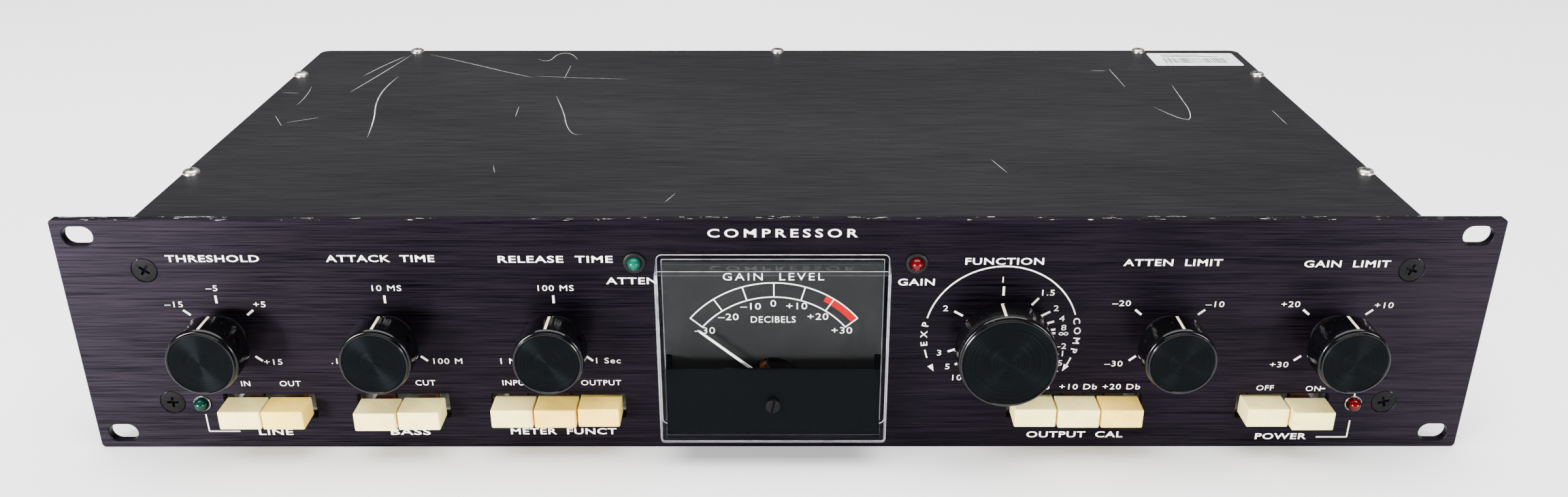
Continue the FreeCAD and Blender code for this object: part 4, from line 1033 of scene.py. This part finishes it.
# ---------- wear and label on the top cover ----------
SCRATCHES = {
    # share of the widest scratch's width: paths of (x, y)
    1.0: [((-169, 164), (-171, 149), (-169, 126), (-163, 103), (-160, 82))],
    0.6: [((-172, 198), (-178, 166), (-184, 140)),
          ((-174, 196), (-180, 183), (-185, 164)),
          ((-164, 199), (-136, 180), (-118, 167), (-108, 161)),
          ((-112, 191), (-106, 184), (-104, 201), (-97, 201), (-93, 189)),
          ((-95, 136), (-88, 113), (-85, 97), (-80, 84), (-77, 86)),
          ((155, 121), (164, 98), (169, 113), (170, 133), (171, 151))],
    0.35: [((-95, 181), (-95, 159)),
           ((-110, 164), (-95, 162), (-66, 159)),
           ((-108, 121), (-107, 107)),
           ((-203, 149), (-200, 133), (-201, 122)),
           ((-213, 140), (-205, 139)),
           ((-205, 109), (-198, 96)),
           ((-198, 100), (-186, 107)),
           ((-39, 16), (-36, 24)),
           ((-105, 52), (-103, 44)),
           ((149, 175), (150, 147)),
           ((140, 172), (147, 172)),
           ((203, 116), (203, 97)),
           ((79, 58), (83, 44))],
}
LABEL = (192.0, 190.0, 40.0, 20.0)      # middle x, middle y, width and depth of the blank sticker


def bar_tree(tree, given):
    """Row of upright bars whose widths differ, by a fixed seed."""
    line = add(tree, "GeometryNodeMeshLine", {
        "Count": given["Count"], "Start Location": given["Start"], "Offset": given["Step"]})
    widths = add(tree, "FunctionNodeRandomValue", {
        "Min": 0.25, "Max": 0.9, "Seed": given["Seed"]}, data_type="FLOAT")
    scale = add(tree, "ShaderNodeCombineXYZ", {0: result(widths), 1: 1.0, 2: 1.0}).outputs[0]
    mark = add(tree, "GeometryNodeMeshCube", {"Size": given["Bar"]})
    return result(add(tree, "GeometryNodeInstanceOnPoints", {
        "Points": result(line), "Instance": result(mark), "Scale": scale}))


class CoverMarks(bpy.types.Operator):
    """Scratches through the finish of the top cover, and a blank sticker with bars"""
    bl_idname = "rack.cover_marks"
    bl_label = "Cover marks"

    def execute(self, context):
        bare = finish("bare_scratch")
        parts = [scratches(paths, share * size("scratch_width"), COVER_HIGH.z, bare)
                 for share, paths in SCRATCHES.items()]
        piece("cover_scratches", joined(*parts), "root", bare)

        x, y, wide, deep = LABEL
        top = COVER_HIGH.z
        sheet = plate(rounded(x, y, wide, deep, 1.2), [], top - 0.05, top + 0.08, 0.03, "Z")
        piece("cover_label", sheet, "root", finish("label"))
        tree = recipe("Bars", {
            "Count": "Int", "Start": "Vector", "Step": "Vector", "Bar": "Vector", "Seed": "Int"}, bar_tree)
        bars = grown(tree, finish("label_ink"), Count=26, Start=(x - 14, y - 2.0, top + 0.08),
                     Step=(1.1, 0, 0), Bar=(0.9, 8.0, 0.04), Seed=4)
        lines = [block((x - 14, y + dy, top + 0.05), (x + end, y + dy + 0.9, top + 0.1))
                 for dy, end in ((4.0, 12), (6.2, 4))]
        piece("cover_label_bars", joined(bars, *lines), "root", finish("label_ink"))
        return {"FINISHED"}


# ---------- legends ----------
HEADINGS = (
    # word, middle x, middle z, width
    ("THRESHOLD", -189.1, 30.0, 31.4), ("ATTACK  TIME", -133.0, 30.0, 36.3),
    ("RELEASE  TIME", -74.7, 29.7, 38.4), ("ATTEN", -49.2, 21.7, 17.2), ("GAIN", 46.6, 21.2, 12.4),
    ("FUNCTION", 75.8, 28.9, 26.3), ("ATTEN  LIMIT", 132.3, 28.4, 33.2), ("GAIN  LIMIT", 190.6, 27.9, 28.9),
    ("LINE", -178.5, -37.7, 12.1), ("BASS", -130.7, -37.7, 14.1), ("METER  FUNCT", -76.4, -37.5, 37.5),
    ("OUTPUT  CAL", 105.1, -38.9, 34.2), ("POWER", 178.4, -39.7, 18.2),
)
CAPTIONS = (
    ("IN", -185.9, -18.0), ("OUT", -170.4, -18.0), ("CUT", -123.2, -17.7), ("INPUT", -91.4, -17.7),
    ("OUTPUT", -61.9, -17.7), ("OFF", 170.1, -19.9), ("ON", 187.1, -20.2),
)
NUMBERS = (
    ("0 Db", 90.5, -19.4), ("+10 Db", 104.7, -19.4), ("+20 Db", 119.8, -19.4),
    ("–15", -205.1, 12.9), ("–5", -191.2, 19.0), ("+5", -176.1, 12.9), ("+15", -174.9, -9.4),
    ("10 MS", -132.6, 19.0), (".1", -153.4, -9.1), ("100 M", -114.7, -9.1),
    ("100 MS", -75.5, 19.0), ("1 M", -93.7, -9.1), ("1 Sec", -59.2, -8.9),
    ("–20", 116.6, 13.2), ("–10", 148.4, 12.8), ("–30", 116.2, -10.2),
    ("+20", 174.0, 12.8), ("+10", 205.8, 12.4), ("+30", 173.6, -10.6),
    ("1", 75.7, 22.1), ("1.5", 91.1, 17.2), ("2", 94.5, 11.3), ("4", 96.8, 7.4), ("8", 97.7, 3.9),
    ("∞", 97.8, 1.6), ("–2", 97.2, -3.3), ("–1", 97.0, -6.2), (".5", 97.0, -9.9), (".2", 95.7, -12.3),
    ("2", 56.9, 11.3), ("3", 55.5, -5.9), ("5", 58.6, -11.3), ("10", 61.8, -15.7),
)
TICK_ANGLES = {
    "threshold": (-50, 0, 50, 129),
    "attack": (-129, 0, 129),
    "release": (-129, 0, 129),
    "atten_limit": (-129, -50, 50),
    "gain_limit": (-129, -50, 50),
}
FUNCTION_ANGLES = (-127, -109, -60, 0, 40, 60.5, 73, 82.5, 87, 99, 107, 118, 129)
LIMB_R = 26.3


class Legends(bpy.types.Operator):
    """Printed words, numbers, ticks and arcs on the front panel"""
    bl_idname = "rack.legends"
    bl_label = "Legends"

    def execute(self, context):
        white = finish("ink_white")
        thick = size("tick_width")
        marks = [lettering(word, x, z, 2.35, weight=0.055, spacing=1.08, width=width)
                 for word, x, z, width in HEADINGS]
        marks.append(lettering("COMPRESSOR", 1.3, 39.2, 2.9, weight=0.06, spacing=1.4, width=50.0))
        marks += [lettering(word, x, z, 2.0, stretch=1.16, weight=0.0, spacing=1.08)
                  for word, x, z in CAPTIONS]
        marks += [lettering(word, x, z, 2.1, stretch=1.28, weight=0.0, spacing=1.12)
                  for word, x, z in NUMBERS]
        for name, angles in TICK_ANGLES.items():
            at = knob_centre(name)
            marks.append(ticks(at.x, at.z, angles, 12.6, 15.5, thick, FACE, white))
        at = knob_centre("function")
        x, z = at.x, at.z
        marks.append(ticks(x, z, FUNCTION_ANGLES, 15.4, 18.8, thick, FACE, white))
        for start, end in ((-75, 72), (-109, -102), (109, 116)):
            marks.append(arc_band((x, FACE, z), LIMB_R, start, end, 0.5, white))
        for word, first, step in (("EXP", -97, 8.2), ("COMP", 77.5, 8.4)):
            for number, letter in enumerate(word):
                angle = first + step * number
                across, up = around(x, z, LIMB_R, angle)
                marks.append(lettering(letter, across, up, 2.2, turn=angle, stretch=1.1, weight=0.05))
        for side in (-1, 1):
            tip, rear = around(x, z, LIMB_R, side * 122), around(x, z, LIMB_R, side * 116)
            marks.append(arrow(tip, rear, 1.0))
        marks += [bar(-202.0, -30.4, -201.9, -37.4, 0.45), bar(-201.9, -37.4, -191.0, -37.4, 0.45),
                  bar(191.2, -40.0, 202.1, -40.0, 0.45), bar(202.1, -40.0, 202.1, -33.2, 0.45),
                  bar(189.4, -20.2, 191.2, -20.2, 0.45), bar(202.0, -21.5, 202.0, -23.1, 0.45)]
        piece("panel_legends", joined(*marks), "root", white)
        return {"FINISHED"}


def arrow(tip, rear, half):
    """Printed arrowhead between two (x, z) points."""
    along = Vector(tip) - Vector(rear)
    side = Vector((-along.y, along.x)).normalized() * half
    corners = [Vector(tip), Vector(rear) + side, Vector(rear) - side]
    rise = size("ink_height")
    bm = bmesh.new()
    layers = [[bm.verts.new((c.x, FACE + dy, c.y)) for c in corners] for dy in (-rise, rise)]
    for ring in layers:
        bm.faces.new(ring)
    for i in range(3):
        bm.faces.new((layers[0][i - 1], layers[0][i], layers[1][i], layers[1][i - 1]))
    return as_mesh(bm)


# ---------- rotary controls ----------
BORE_R, BORE_DEEP = 3.3, 3.0
SHOULDER, SHOULDER_IN, SHOULDER_ON = 2.7, 0.9, 1.2      # its start behind the tip, its reach in and on
DISC_INSET = 1.32                                       # from the knob's side to its disc
GRUB_R, GRUB_TURN, GRUB_SUNK = 1.45, 60, 1.6            # the grub screw is 60 degrees past the pointer
POINTER_W = 0.9
WASHER_R, WASHER_T, NUT_FLATS, NUT_T = 8.0, 0.8, 12.7, 2.2


def knob_profile(radius, tip, back):
    """Half outline of a knob: bore, skirt, rounded shoulder, groove and front ring."""
    skirt = [(0, back - BORE_DEEP), (BORE_R, back - BORE_DEEP), (BORE_R, back), (radius - 0.45, back),
             (radius - 0.12, back - 0.14), (radius, back - 0.5), (radius, back - 0.9),
             (radius, tip + SHOULDER + 0.6), (radius, tip + SHOULDER)]
    shoulder = []
    for degrees in range(15, 91, 15):
        turn = math.radians(degrees)
        shoulder.append((radius - SHOULDER_IN + SHOULDER_IN * math.cos(turn),
                         tip + SHOULDER - SHOULDER_ON * math.sin(turn)))
    groove = [(radius - 1.05, tip + 1.25), (radius - 1.1, tip + 1.05), (radius - 0.9, tip + 0.92)]
    ring = [(radius - 0.55, tip + 0.75), (radius - 0.5, tip + 0.45), (radius - 0.6, tip + 0.15),
            (radius - 0.85, tip), (radius - 1.1, tip + 0.04), (radius - 1.28, tip + 0.25),
            (radius - 1.3, tip + 0.9), (0, tip + 0.9)]
    return skirt + shoulder + groove + ring


class Knobs(bpy.types.Operator):
    """Turned knobs with their discs, pointer lines and grub screws"""
    bl_idname = "rack.knobs"
    bl_label = "Knobs"

    def execute(self, context):
        for name in KNOBS:
            low, high = mm_box(name + "_knob")
            at = middle((low, high))
            x, z = at.x, at.z
            radius, tip, back = (high.x - low.x) / 2, low.y, high.y
            body = name + "_control"
            angle = POINTER_ANGLES[name]
            screw_y = (tip + back) / 2 + 0.6
            core = turned(x, z, knob_profile(radius, tip, back), finish("knob_gloss"))
            bore, deep = GRUB_R + 0.05, radius - 4
            hole = turned(0, 0, [(0, 0), (bore, 0), (bore, deep), (0, deep)], finish("knob_gloss"), 32)
            hole.transform(Matrix.Translation((x, screw_y, z + radius + 0.4)) @ turn_about(-90, "X"))
            core = cut_by(core, swung(hole, x, z, angle + GRUB_TURN))
            piece(name + "_knob_body", core, body, finish("knob_gloss"), [name + "_knob"])

            rim, front = radius - DISC_INSET, tip + 0.2
            disc = turned(x, z, [(0, tip + 0.88), (rim, tip + 0.88), (rim, front + 0.07), (rim - 0.08, front),
                                 (rim * 0.6, front), (rim * 0.3, front), (0, front)], finish("knob_disc"))
            piece(name + "_knob_disc", disc, body, finish("knob_disc"))

            line = block((x - POINTER_W / 2, tip + 2.6, z + radius - 0.5),
                         (x + POINTER_W / 2, back - 0.6, z + radius + 0.03), 0.05)
            piece(name + "_pointer", swung(line, x, z, angle), body, finish("pointer_cream"))

            grub = crossed([(0, 0), (GRUB_R - 0.2, 0), (GRUB_R, 0.2), (GRUB_R, 4.0), (0, 4.0)],
                           1.0, 0.45, 0.8, 24)
            grub.transform(Matrix.Translation((x, screw_y, z + radius - GRUB_SUNK)) @ turn_about(-90, "X"))
            grub = swung(grub, x, z, angle + GRUB_TURN)
            piece(name + "_grub", grub, body, finish("grub_steel"))
            dress(name + "_shaft", finish("zinc"))
        dress("potentiometers", finish("zinc"))

        hexagon = circle(0, 0, NUT_FLATS / math.sqrt(3), 6)
        bore = circle(0, 0, BUSHING_R, 40)
        nut = plate(hexagon, [bore], -WASHER_T - NUT_T, -WASHER_T, 0.35, "-Y")
        washer = plate(circle(0, 0, WASHER_R, 64), [bore], -WASHER_T, 0, 0.15, "-Y")
        spots = [((knob_centre(name).x, FACE, knob_centre(name).z), (0, 17 * number, 0), (1, 1, 1))
                 for number, name in enumerate(KNOBS)]
        mesh = repeated(joined(nut, washer), spots, finish("black_screw"))
        piece("bushing_nut_set", mesh, "root", finish("black_screw"), ["bushing_nuts"])
        return {"FINISHED"}


# ---------- push buttons ----------
YELLOWED = ("line_out", "meter_gain", "meter_output", "cal_twenty")
PLUNGER_W, PLUNGER_H, PLUNGER_END = 6.4, 4.4, 24.0
GATE_BACK = 1.6                 # from a cap's rear to the moulding dimple on its top


class Buttons(bpy.types.Operator):
    """Ivory push-button caps on their plungers, and the switches behind them"""
    bl_idname = "rack.buttons"
    bl_label = "Push buttons"

    def execute(self, context):
        for names in BANKS.values():
            for name in names:
                low, high = cap_box(name)
                at = middle((low, high))
                plastic = finish("yellowed" if name in YELLOWED else "ivory")
                cap = block(low, high, size("cap_round"), 4)
                gate = turned(0, 0, [(0, -0.25), (0.45, -0.25), (0.45, 0.6), (0, 0.6)], plastic, 20)
                gate.transform(Matrix.Translation((at.x, high.y - GATE_BACK, high.z)) @ turn_about(90, "X"))
                piece(name + "_cap", cut_by(cap, gate), name, plastic, [name + "_button"])
                stem = block((at.x - PLUNGER_W / 2, high.y - 0.01, at.z - PLUNGER_H / 2),
                             (at.x + PLUNGER_W / 2, PLUNGER_END, at.z + PLUNGER_H / 2), 0.25, 2)
                piece(name + "_plunger", stem, name, finish("plunger_brown"))
        dress("switch_banks", finish("switch_grey"))
        return {"FINISHED"}


# ---------- lamps ----------
LENS_R, DOME_Y = 2.5, FACE - 1.0
CLIP_REACH = 3.4                # a ring that reaches further than this is a dark clip


class Lamps(bpy.types.Operator):
    """Domed lamps in their clips and rings"""
    bl_idname = "rack.lamps"
    bl_label = "Lamps"

    def execute(self, context):
        rings = [(middle(ends), (ends[1].x - ends[0].x) / 2) for ends in solids_of("lamp_rings")]
        inner = LENS_R + 0.1
        clips, bright = [], []
        for at, reach in rings:
            if reach > CLIP_REACH:
                clips.append(turned(at.x, at.z, [
                    (inner, FACE - 0.9), (reach - 0.5, FACE - 0.9), (reach - 0.12, FACE - 0.75),
                    (reach, FACE - 0.4), (reach, FACE), (reach - 0.45, FACE), (reach - 0.45, FACE + 1.6),
                    (inner + 0.3, FACE + 1.6), (inner, FACE + 0.3), (inner, FACE - 0.9)],
                    finish("lamp_clip"), 64))
            else:
                bright.append(turned(at.x, at.z, [
                    (2.56, FACE - 0.35), (2.7, FACE - 0.5), (reach - 0.2, FACE - 0.5), (reach, FACE - 0.28),
                    (reach, FACE), (2.56, FACE), (2.56, FACE - 0.35)], finish("bright_ring"), 64))
        piece("lamp_clips", joined(*clips), "root", finish("lamp_clip"), ["lamp_rings"])
        piece("lamp_bezels", joined(*bright), "root", finish("bright_ring"))
        for node, slot in (("green_lamps", "green_lens"), ("red_lamps", "red_lens")):
            for number, ends in enumerate(solids_of(node, 3.0)):
                at = middle(ends)
                arc = []
                for degrees in range(84, -1, -12):
                    turn = math.radians(degrees)
                    arc.append((LENS_R * math.cos(turn), DOME_Y - LENS_R * math.sin(turn)))
                foot = [(LENS_R, FACE + 0.4), (LENS_R - 0.2, FACE + 1.3), (0, FACE + 1.3)]
                profile = [(0, DOME_Y - LENS_R)] + arc + foot
                glass = finish("dim_green_lens" if slot == "green_lens" and at.x < -100 else slot)
                covers = [node] if number == 0 else []
                body = turned(at.x, at.z, profile, glass, 64)
                piece(node[:-1] + "_" + str(number + 1), body, "root", glass, covers)
        return {"FINISHED"}


# ---------- meter ----------
METER_LOW, METER_HIGH = mm_box("meter_cover")
METER = middle((METER_LOW, METER_HIGH))
METER_FRONT = METER_LOW.y
METER_WALL, METER_CORNER = 2.0, 2.0
PIVOT_Z = -16.05
DIAL_Y = mm_box("meter_dial")[0].y
ZERO_Z, ZERO_R, ZERO_SLOT_TURN = -18.85, 2.5, 12
NEEDLE_REST, COIL_TURN = -50.6, -26.0           # degrees at rest, clockwise from the top
NEEDLE_LONG, NEEDLE_HALF, NEEDLE_SIDE = 33.5, 0.35, 0.6
COIL_W, COIL_REACH, COIL_WIRE, COIL_REAR = 2.6, 8.2, 1.2, 10.8
SCALE_CENTRE = (-1.5, -15.1)
SCALE_END, SCALE_IN, SCALE_OUT, SCALE_LINE = 50.3, 31.6, 36.9, 0.42
SCALE_WORDS = (
    # word, middle x, middle z, height, letter spacing, width
    ("DECIBELS", -1.8, 8.0, 2.35, 1.1, 15.2), ("GAIN  LEVEL", -1.7, 24.1, 2.7, 1.3, 34.0),
)
SCALE_NUMBERS = (
    ("–30", -25.0, 3.8), ("–20", -16.9, 9.0), ("–10", -9.3, 13.0), ("0", -1.7, 14.1),
    ("+10", 6.2, 13.1), ("+20", 13.4, 9.1), ("+30", 21.6, 3.8),
)
BAND_START, BAND_END, BAND_R, BAND_W = 29, 50, 35.4, 2.2


def shell(outline, outer, inner, hole, lay):
    """Open box with a hole in its front: outer and inner are the wall's (depth, growth) stations."""
    bm = bmesh.new()

    def rings(path, stations):
        made = [[bm.verts.new(LAYS[lay](u, v, depth)) for u, v in path(grow)] for depth, grow in stations]
        for here, there in zip(made, made[1:]):
            for i in range(len(here)):
                bm.faces.new((here[i - 1], here[i], there[i], there[i - 1]))
        return made

    sides = rings(outline, list(reversed(outer)) + list(inner))
    wall = rings(hole, [(outer[-1][0], 0.15), (outer[-1][0] + 0.15, 0), (inner[-1][0], 0)])
    filled(bm, [(sides[0], outline(outer[-1][1])), (wall[0], hole(0.15))])
    filled(bm, [(sides[-1], outline(inner[-1][1])), (wall[-1], hole(0))])
    return as_mesh(bm)


def blade(points, near, far):
    """Flat piece through (x, z) points, between two depths."""
    return plate(lambda grow: points, [], near, far, 0.005, "-Y")


def clear_edges(window, low, glow):
    """Give the window's front bevels, which pipe light, their own finish."""
    window.data.materials.append(glow)
    for face in window.data.polygons:
        at = face.center / MM
        if at.y < low.y + 1.1 and abs(face.normal.y) < 0.98:
            face.material_index = 1


def painted_edge_ring(outer_inset, inner_inset, near, far):
    """Thin grey line round the meter's cover, inside its wall: a painted highlight that stands for the glint
    along the cover's edge.
    """
    wide, tall = METER_HIGH.x - METER_LOW.x, METER_HIGH.z - METER_LOW.z
    paths = [rounded(METER.x, METER.z, wide - 2 * inset, tall - 2 * inset,
                     max(METER_CORNER - inset, 0.4), 8) for inset in (outer_inset, inner_inset)]
    return plate(paths[0], [paths[1]], near, far, 0.02, "-Y")


class MeterCase(bpy.types.Operator):
    """Meter's clear cover, its black lower half and its housing"""
    bl_idname = "rack.meter_case"
    bl_label = "Meter case"

    def execute(self, context):
        wide, tall = METER_HIGH.x - METER_LOW.x, METER_HIGH.z - METER_LOW.z
        outline = rounded(METER.x, METER.z, wide, tall, METER_CORNER, 8)
        front = METER_FRONT
        outer = [(FACE, 0), (front + 1.2, -0.42), (front + 0.45, -0.58), (front + 0.12, -0.95), (front, -1.4)]
        inner = [(FACE, -METER_WALL), (front + METER_WALL + 0.4, -METER_WALL - 0.45),
                 (front + METER_WALL, -METER_WALL - 0.85)]
        mesh = shell(outline, outer, inner, circle(METER.x, ZERO_Z, ZERO_R + 0.08, 40), "-Y")
        window = piece("meter_window", mesh, "root", finish("clear_cover"), ["meter_cover"])
        clear_edges(window, METER_LOW, finish("clear_edge"))
        # painted highlights: grey lines along the cover's edges, inside its wall
        lines = joined(painted_edge_ring(0.02, 0.3, FACE - 0.3, FACE), painted_edge_ring(1.7, 1.96, FACE - 0.3, FACE),
                       painted_edge_ring(0.52, 0.72, front + 1.5, front + 1.7))
        piece("meter_window_lines", lines, "root", finish("piped_light"))
        low, high = mm_box("meter_dial")
        left, right = METER_LOW.x + METER_WALL + 0.05, METER_HIGH.x - METER_WALL - 0.05
        top, foot, near = METER_HIGH.z - METER_WALL - 0.05, -5.5, DIAL_Y + 0.05
        border = joined(block((left, near, foot), (low.x, near + 0.5, top)),
                        block((high.x, near, foot), (right, near + 0.5, top)),
                        block((low.x, near, high.z), (high.x, near + 0.5, top)))
        piece("dial_border", border, "root", finish("dial_grey"))
        dress("meter_mask", finish("meter_black"))
        dress("meter_case", finish("meter_black"))
        dress("meter_magnet", finish("magnet_steel"))
        return {"FINISHED"}


class MeterScale(bpy.types.Operator):
    """Meter's dial with its printed scale, red band and words"""
    bl_idname = "rack.meter_scale"
    bl_label = "Meter scale"

    def execute(self, context):
        dress("meter_dial", finish("dial_grey"))
        white, red = finish("ink_white"), finish("ink_red")
        x, z = SCALE_CENTRE
        step = 16.77
        angles = [-SCALE_END + step * i for i in range(7)]
        marks = [arc_band((x, DIAL_Y, z), radius, -SCALE_END, SCALE_END, SCALE_LINE, white)
                 for radius in (SCALE_OUT, SCALE_IN)]
        marks.append(ticks(x, z, angles, SCALE_IN - 0.2, SCALE_OUT + 0.2, SCALE_LINE, DIAL_Y, white))
        marks += [lettering(word, a, b, tall, DIAL_Y, spacing=spacing, width=width)
                  for word, a, b, tall, spacing, width in SCALE_WORDS]
        marks += [lettering(word, a, b, 2.4, DIAL_Y, stretch=1.25, spacing=1.1)
                  for word, a, b in SCALE_NUMBERS]
        piece("scale_print", joined(*marks), "root", white)
        band = arc_band((x, DIAL_Y, z), BAND_R, BAND_START, BAND_END, BAND_W, red)
        piece("scale_red_band", band, "root", red)
        return {"FINISHED"}


class MeterMovement(bpy.types.Operator):
    """Meter's needle with its coil and pivot, and the zero-adjust screw"""
    bl_idname = "rack.meter_movement"
    bl_label = "Meter movement"

    def execute(self, context):
        x = METER.x
        y = FACE - 5.2
        line, half, tip = x + NEEDLE_SIDE, NEEDLE_HALF, PIVOT_Z + NEEDLE_LONG
        arm = blade([(line - half - 0.15, PIVOT_Z + 0.5), (line - half, tip - 1.0), (line, tip),
                     (line + half, tip - 1.0), (line + half + 0.15, PIVOT_Z + 0.5)], y - 0.2, y + 0.2)
        tail = blade([(x - 0.9, PIVOT_Z - 1.0), (x - 0.9, PIVOT_Z - 6.0),
                      (x + 0.9, PIVOT_Z - 6.0), (x + 0.9, PIVOT_Z - 1.0)], y - 0.5, y + 0.5)
        hub = turned(x, PIVOT_Z, [(0, y - 1.0), (1.3, y - 1.0), (1.6, y - 0.7), (1.6, y + 0.8), (0, y + 0.8)],
                     finish("ink_white"), 40)
        pointer = swung(joined(arm, tail, hub), x, PIVOT_Z, NEEDLE_REST)
        piece("needle_blade", pointer, "needle", finish("ink_white"), ["meter_needle"])

        front, opening = FACE - 3.6, COIL_REACH - COIL_WIRE
        loop = block((x - COIL_W / 2, front, PIVOT_Z - COIL_REACH),
                     (x + COIL_W / 2, COIL_REAR, PIVOT_Z + COIL_REACH), 0.3, 2)
        inside = block((x - 3, front + 1.7, PIVOT_Z - opening), (x + 3, COIL_REAR - 1.5, PIVOT_Z + opening))
        coil = swung(cut_by(loop, inside), x, PIVOT_Z, COIL_TURN)
        piece("needle_coil", coil, "needle", finish("copper"))
        pivot = turned(x, PIVOT_Z, [(0, FACE - 7.6), (0.4, FACE - 7.4), (0.6, FACE - 7.0),
                                    (0.6, 12.8), (0, 13.0)],
                       finish("nickel"), 24)
        piece("needle_pivot", pivot, "needle", finish("nickel"))

        top = METER_FRONT - 0.5
        head = turned(x, ZERO_Z, [
            (0, top), (ZERO_R - 0.3, top), (ZERO_R - 0.08, top + 0.1), (ZERO_R, top + 0.35),
            (ZERO_R, top + 2.5), (1.2, top + 2.5), (1.2, FACE - 8.6), (0, FACE - 8.6)],
            finish("black_screw"), 48)
        slot = block((x - 0.4, top - 1, ZERO_Z - 4), (x + 0.4, top + 1, ZERO_Z + 4))
        head = cut_by(head, swung(slot, x, ZERO_Z, ZERO_SLOT_TURN))
        piece("zero_adjuster", head, "zero_screw", finish("black_screw"), ["meter_zero_screw"])
        return {"FINISHED"}


# ---------- rear and inside ----------
DRESSED = {
    "input_socket": "zinc", "output_socket": "zinc",
    "barrier_strip": "dark_plastic", "fuse_cap": "dark_plastic", "fuse_holder": "dark_plastic",
    "mains_inlet": "dark_plastic", "strip_screws": "nickel", "board_standoffs": "nickel",
    "main_board": "board_green", "board_components": "dark_plastic", "board_capacitors": "can_blue",
    "transformer_core": "laminations", "transformer_coil": "winding", "heatsink": "heatsink_black",
    "regulators": "dark_plastic", "wiring_loom": "wire",
}


class RearAndInside(bpy.types.Operator):
    """Sockets, terminals, fuse and inlet at the rear, and the works inside the case"""
    bl_idname = "rack.rear_and_inside"
    bl_label = "Rear and inside"

    def execute(self, context):
        for node, name in DRESSED.items():
            dress(node, finish(name))
        return {"FINISHED"}


# ---------- stage ----------
SOFTBOXES = (
    # name, place and target in metres, width, height, power
    ("left softbox", (-1.02, -1.1, 0.12), (-0.15, 0, 0), 0.6, 0.3, 92),
    ("right softbox", (1.02, -1.1, 0.12), (0.15, 0, 0), 0.6, 0.3, 32),
    ("overhead softbox", (0, 0.1, 1.6), (0, 0.15, 0), 2.4, 1.6, 130),
)
LENS = 30.59
VIEWER, VIEWER_TURN = (1.56, -407.78, 216.05), (65.73, 0, -0.052)      # millimetres and degrees


def softbox(name, place, target, width, height, power):
    """Soft rectangular lamp at a place, in metres, that faces its target."""
    data = bpy.data.lights.new(name, "AREA")
    data.shape = "RECTANGLE"
    data.size, data.size_y, data.energy = width, height, power
    lamp = bpy.data.objects.new(name, data)
    lamp.location = place
    lamp.rotation_euler = (Vector(target) - Vector(place)).to_track_quat("-Z", "Y").to_euler()
    bpy.context.scene.collection.objects.link(lamp)


class Stage(bpy.types.Operator):
    """Pale floor, soft lamps, pale surroundings and the camera"""
    bl_idname = "rack.stage"
    bl_label = "Stage"

    def execute(self, context):
        bm = bmesh.new()
        bmesh.ops.create_grid(bm, x_segments=4, y_segments=4, size=6.0)
        bmesh.ops.translate(bm, vec=(0, 2.0, FLOOR_Z * MM), verts=bm.verts)
        mesh = bpy.data.meshes.new("floor")
        bm.to_mesh(mesh)
        bm.free()
        mesh.materials.append(finish("floor_paper"))
        floor = bpy.data.objects.new("floor", mesh)
        context.scene.collection.objects.link(floor)

        world = bpy.data.worlds.new("surroundings")
        world.use_nodes = True
        world.node_tree.nodes["Background"].inputs[0].default_value = (0.95, 0.96, 1.0, 1)
        world.node_tree.nodes["Background"].inputs[1].default_value = 0.3
        context.scene.world = world
        for lamp in SOFTBOXES:
            softbox(*lamp)

        camera = bpy.data.cameras.new("camera")
        camera.sensor_width = 36
        camera.lens = LENS
        viewer = bpy.data.objects.new("camera", camera)
        viewer.location = [reach * MM for reach in VIEWER]
        viewer.rotation_euler = [math.radians(degrees) for degrees in VIEWER_TURN]
        context.scene.collection.objects.link(viewer)
        context.scene.camera = viewer
        return {"FINISHED"}


# ---------- add-on ----------
PIECES = (
    FrontPanel, Case, CoverMarks, Legends, Knobs, Buttons, Lamps, MeterCase, MeterScale, MeterMovement,
    RearAndInside, Stage,
)


class RackSidebar(bpy.types.Panel):
    """Lists the pieces, and the colours and sizes that they are made with"""
    bl_idname = "VIEW3D_PT_rack_compressor"
    bl_label = "Rack compressor"
    bl_space_type = "VIEW_3D"
    bl_region_type = "UI"
    bl_category = "Compressor"

    def draw(self, context):
        for group in (context.scene.rack_finishes, context.scene.rack_sizes):
            box = self.layout.box()
            for name in group.__annotations__:
                box.prop(group, name)
        for operator in PIECES:
            self.layout.operator(operator.bl_idname)


CLASSES = (RackFinishes, RackSizes) + PIECES + (RackSidebar,)


def register():
    for kind in CLASSES:
        bpy.utils.register_class(kind)
    bpy.types.Scene.rack_finishes = PointerProperty(type=RackFinishes)
    bpy.types.Scene.rack_sizes = PointerProperty(type=RackSizes)


def unregister():
    del bpy.types.Scene.rack_sizes
    del bpy.types.Scene.rack_finishes
    for kind in reversed(CLASSES):
        bpy.utils.unregister_class(kind)


def main():
    register()
    for operator in PIECES:
        group, name = operator.bl_idname.split(".")
        getattr(getattr(bpy.ops, group), name)()
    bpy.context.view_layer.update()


if __name__ == "__main__":
    main()
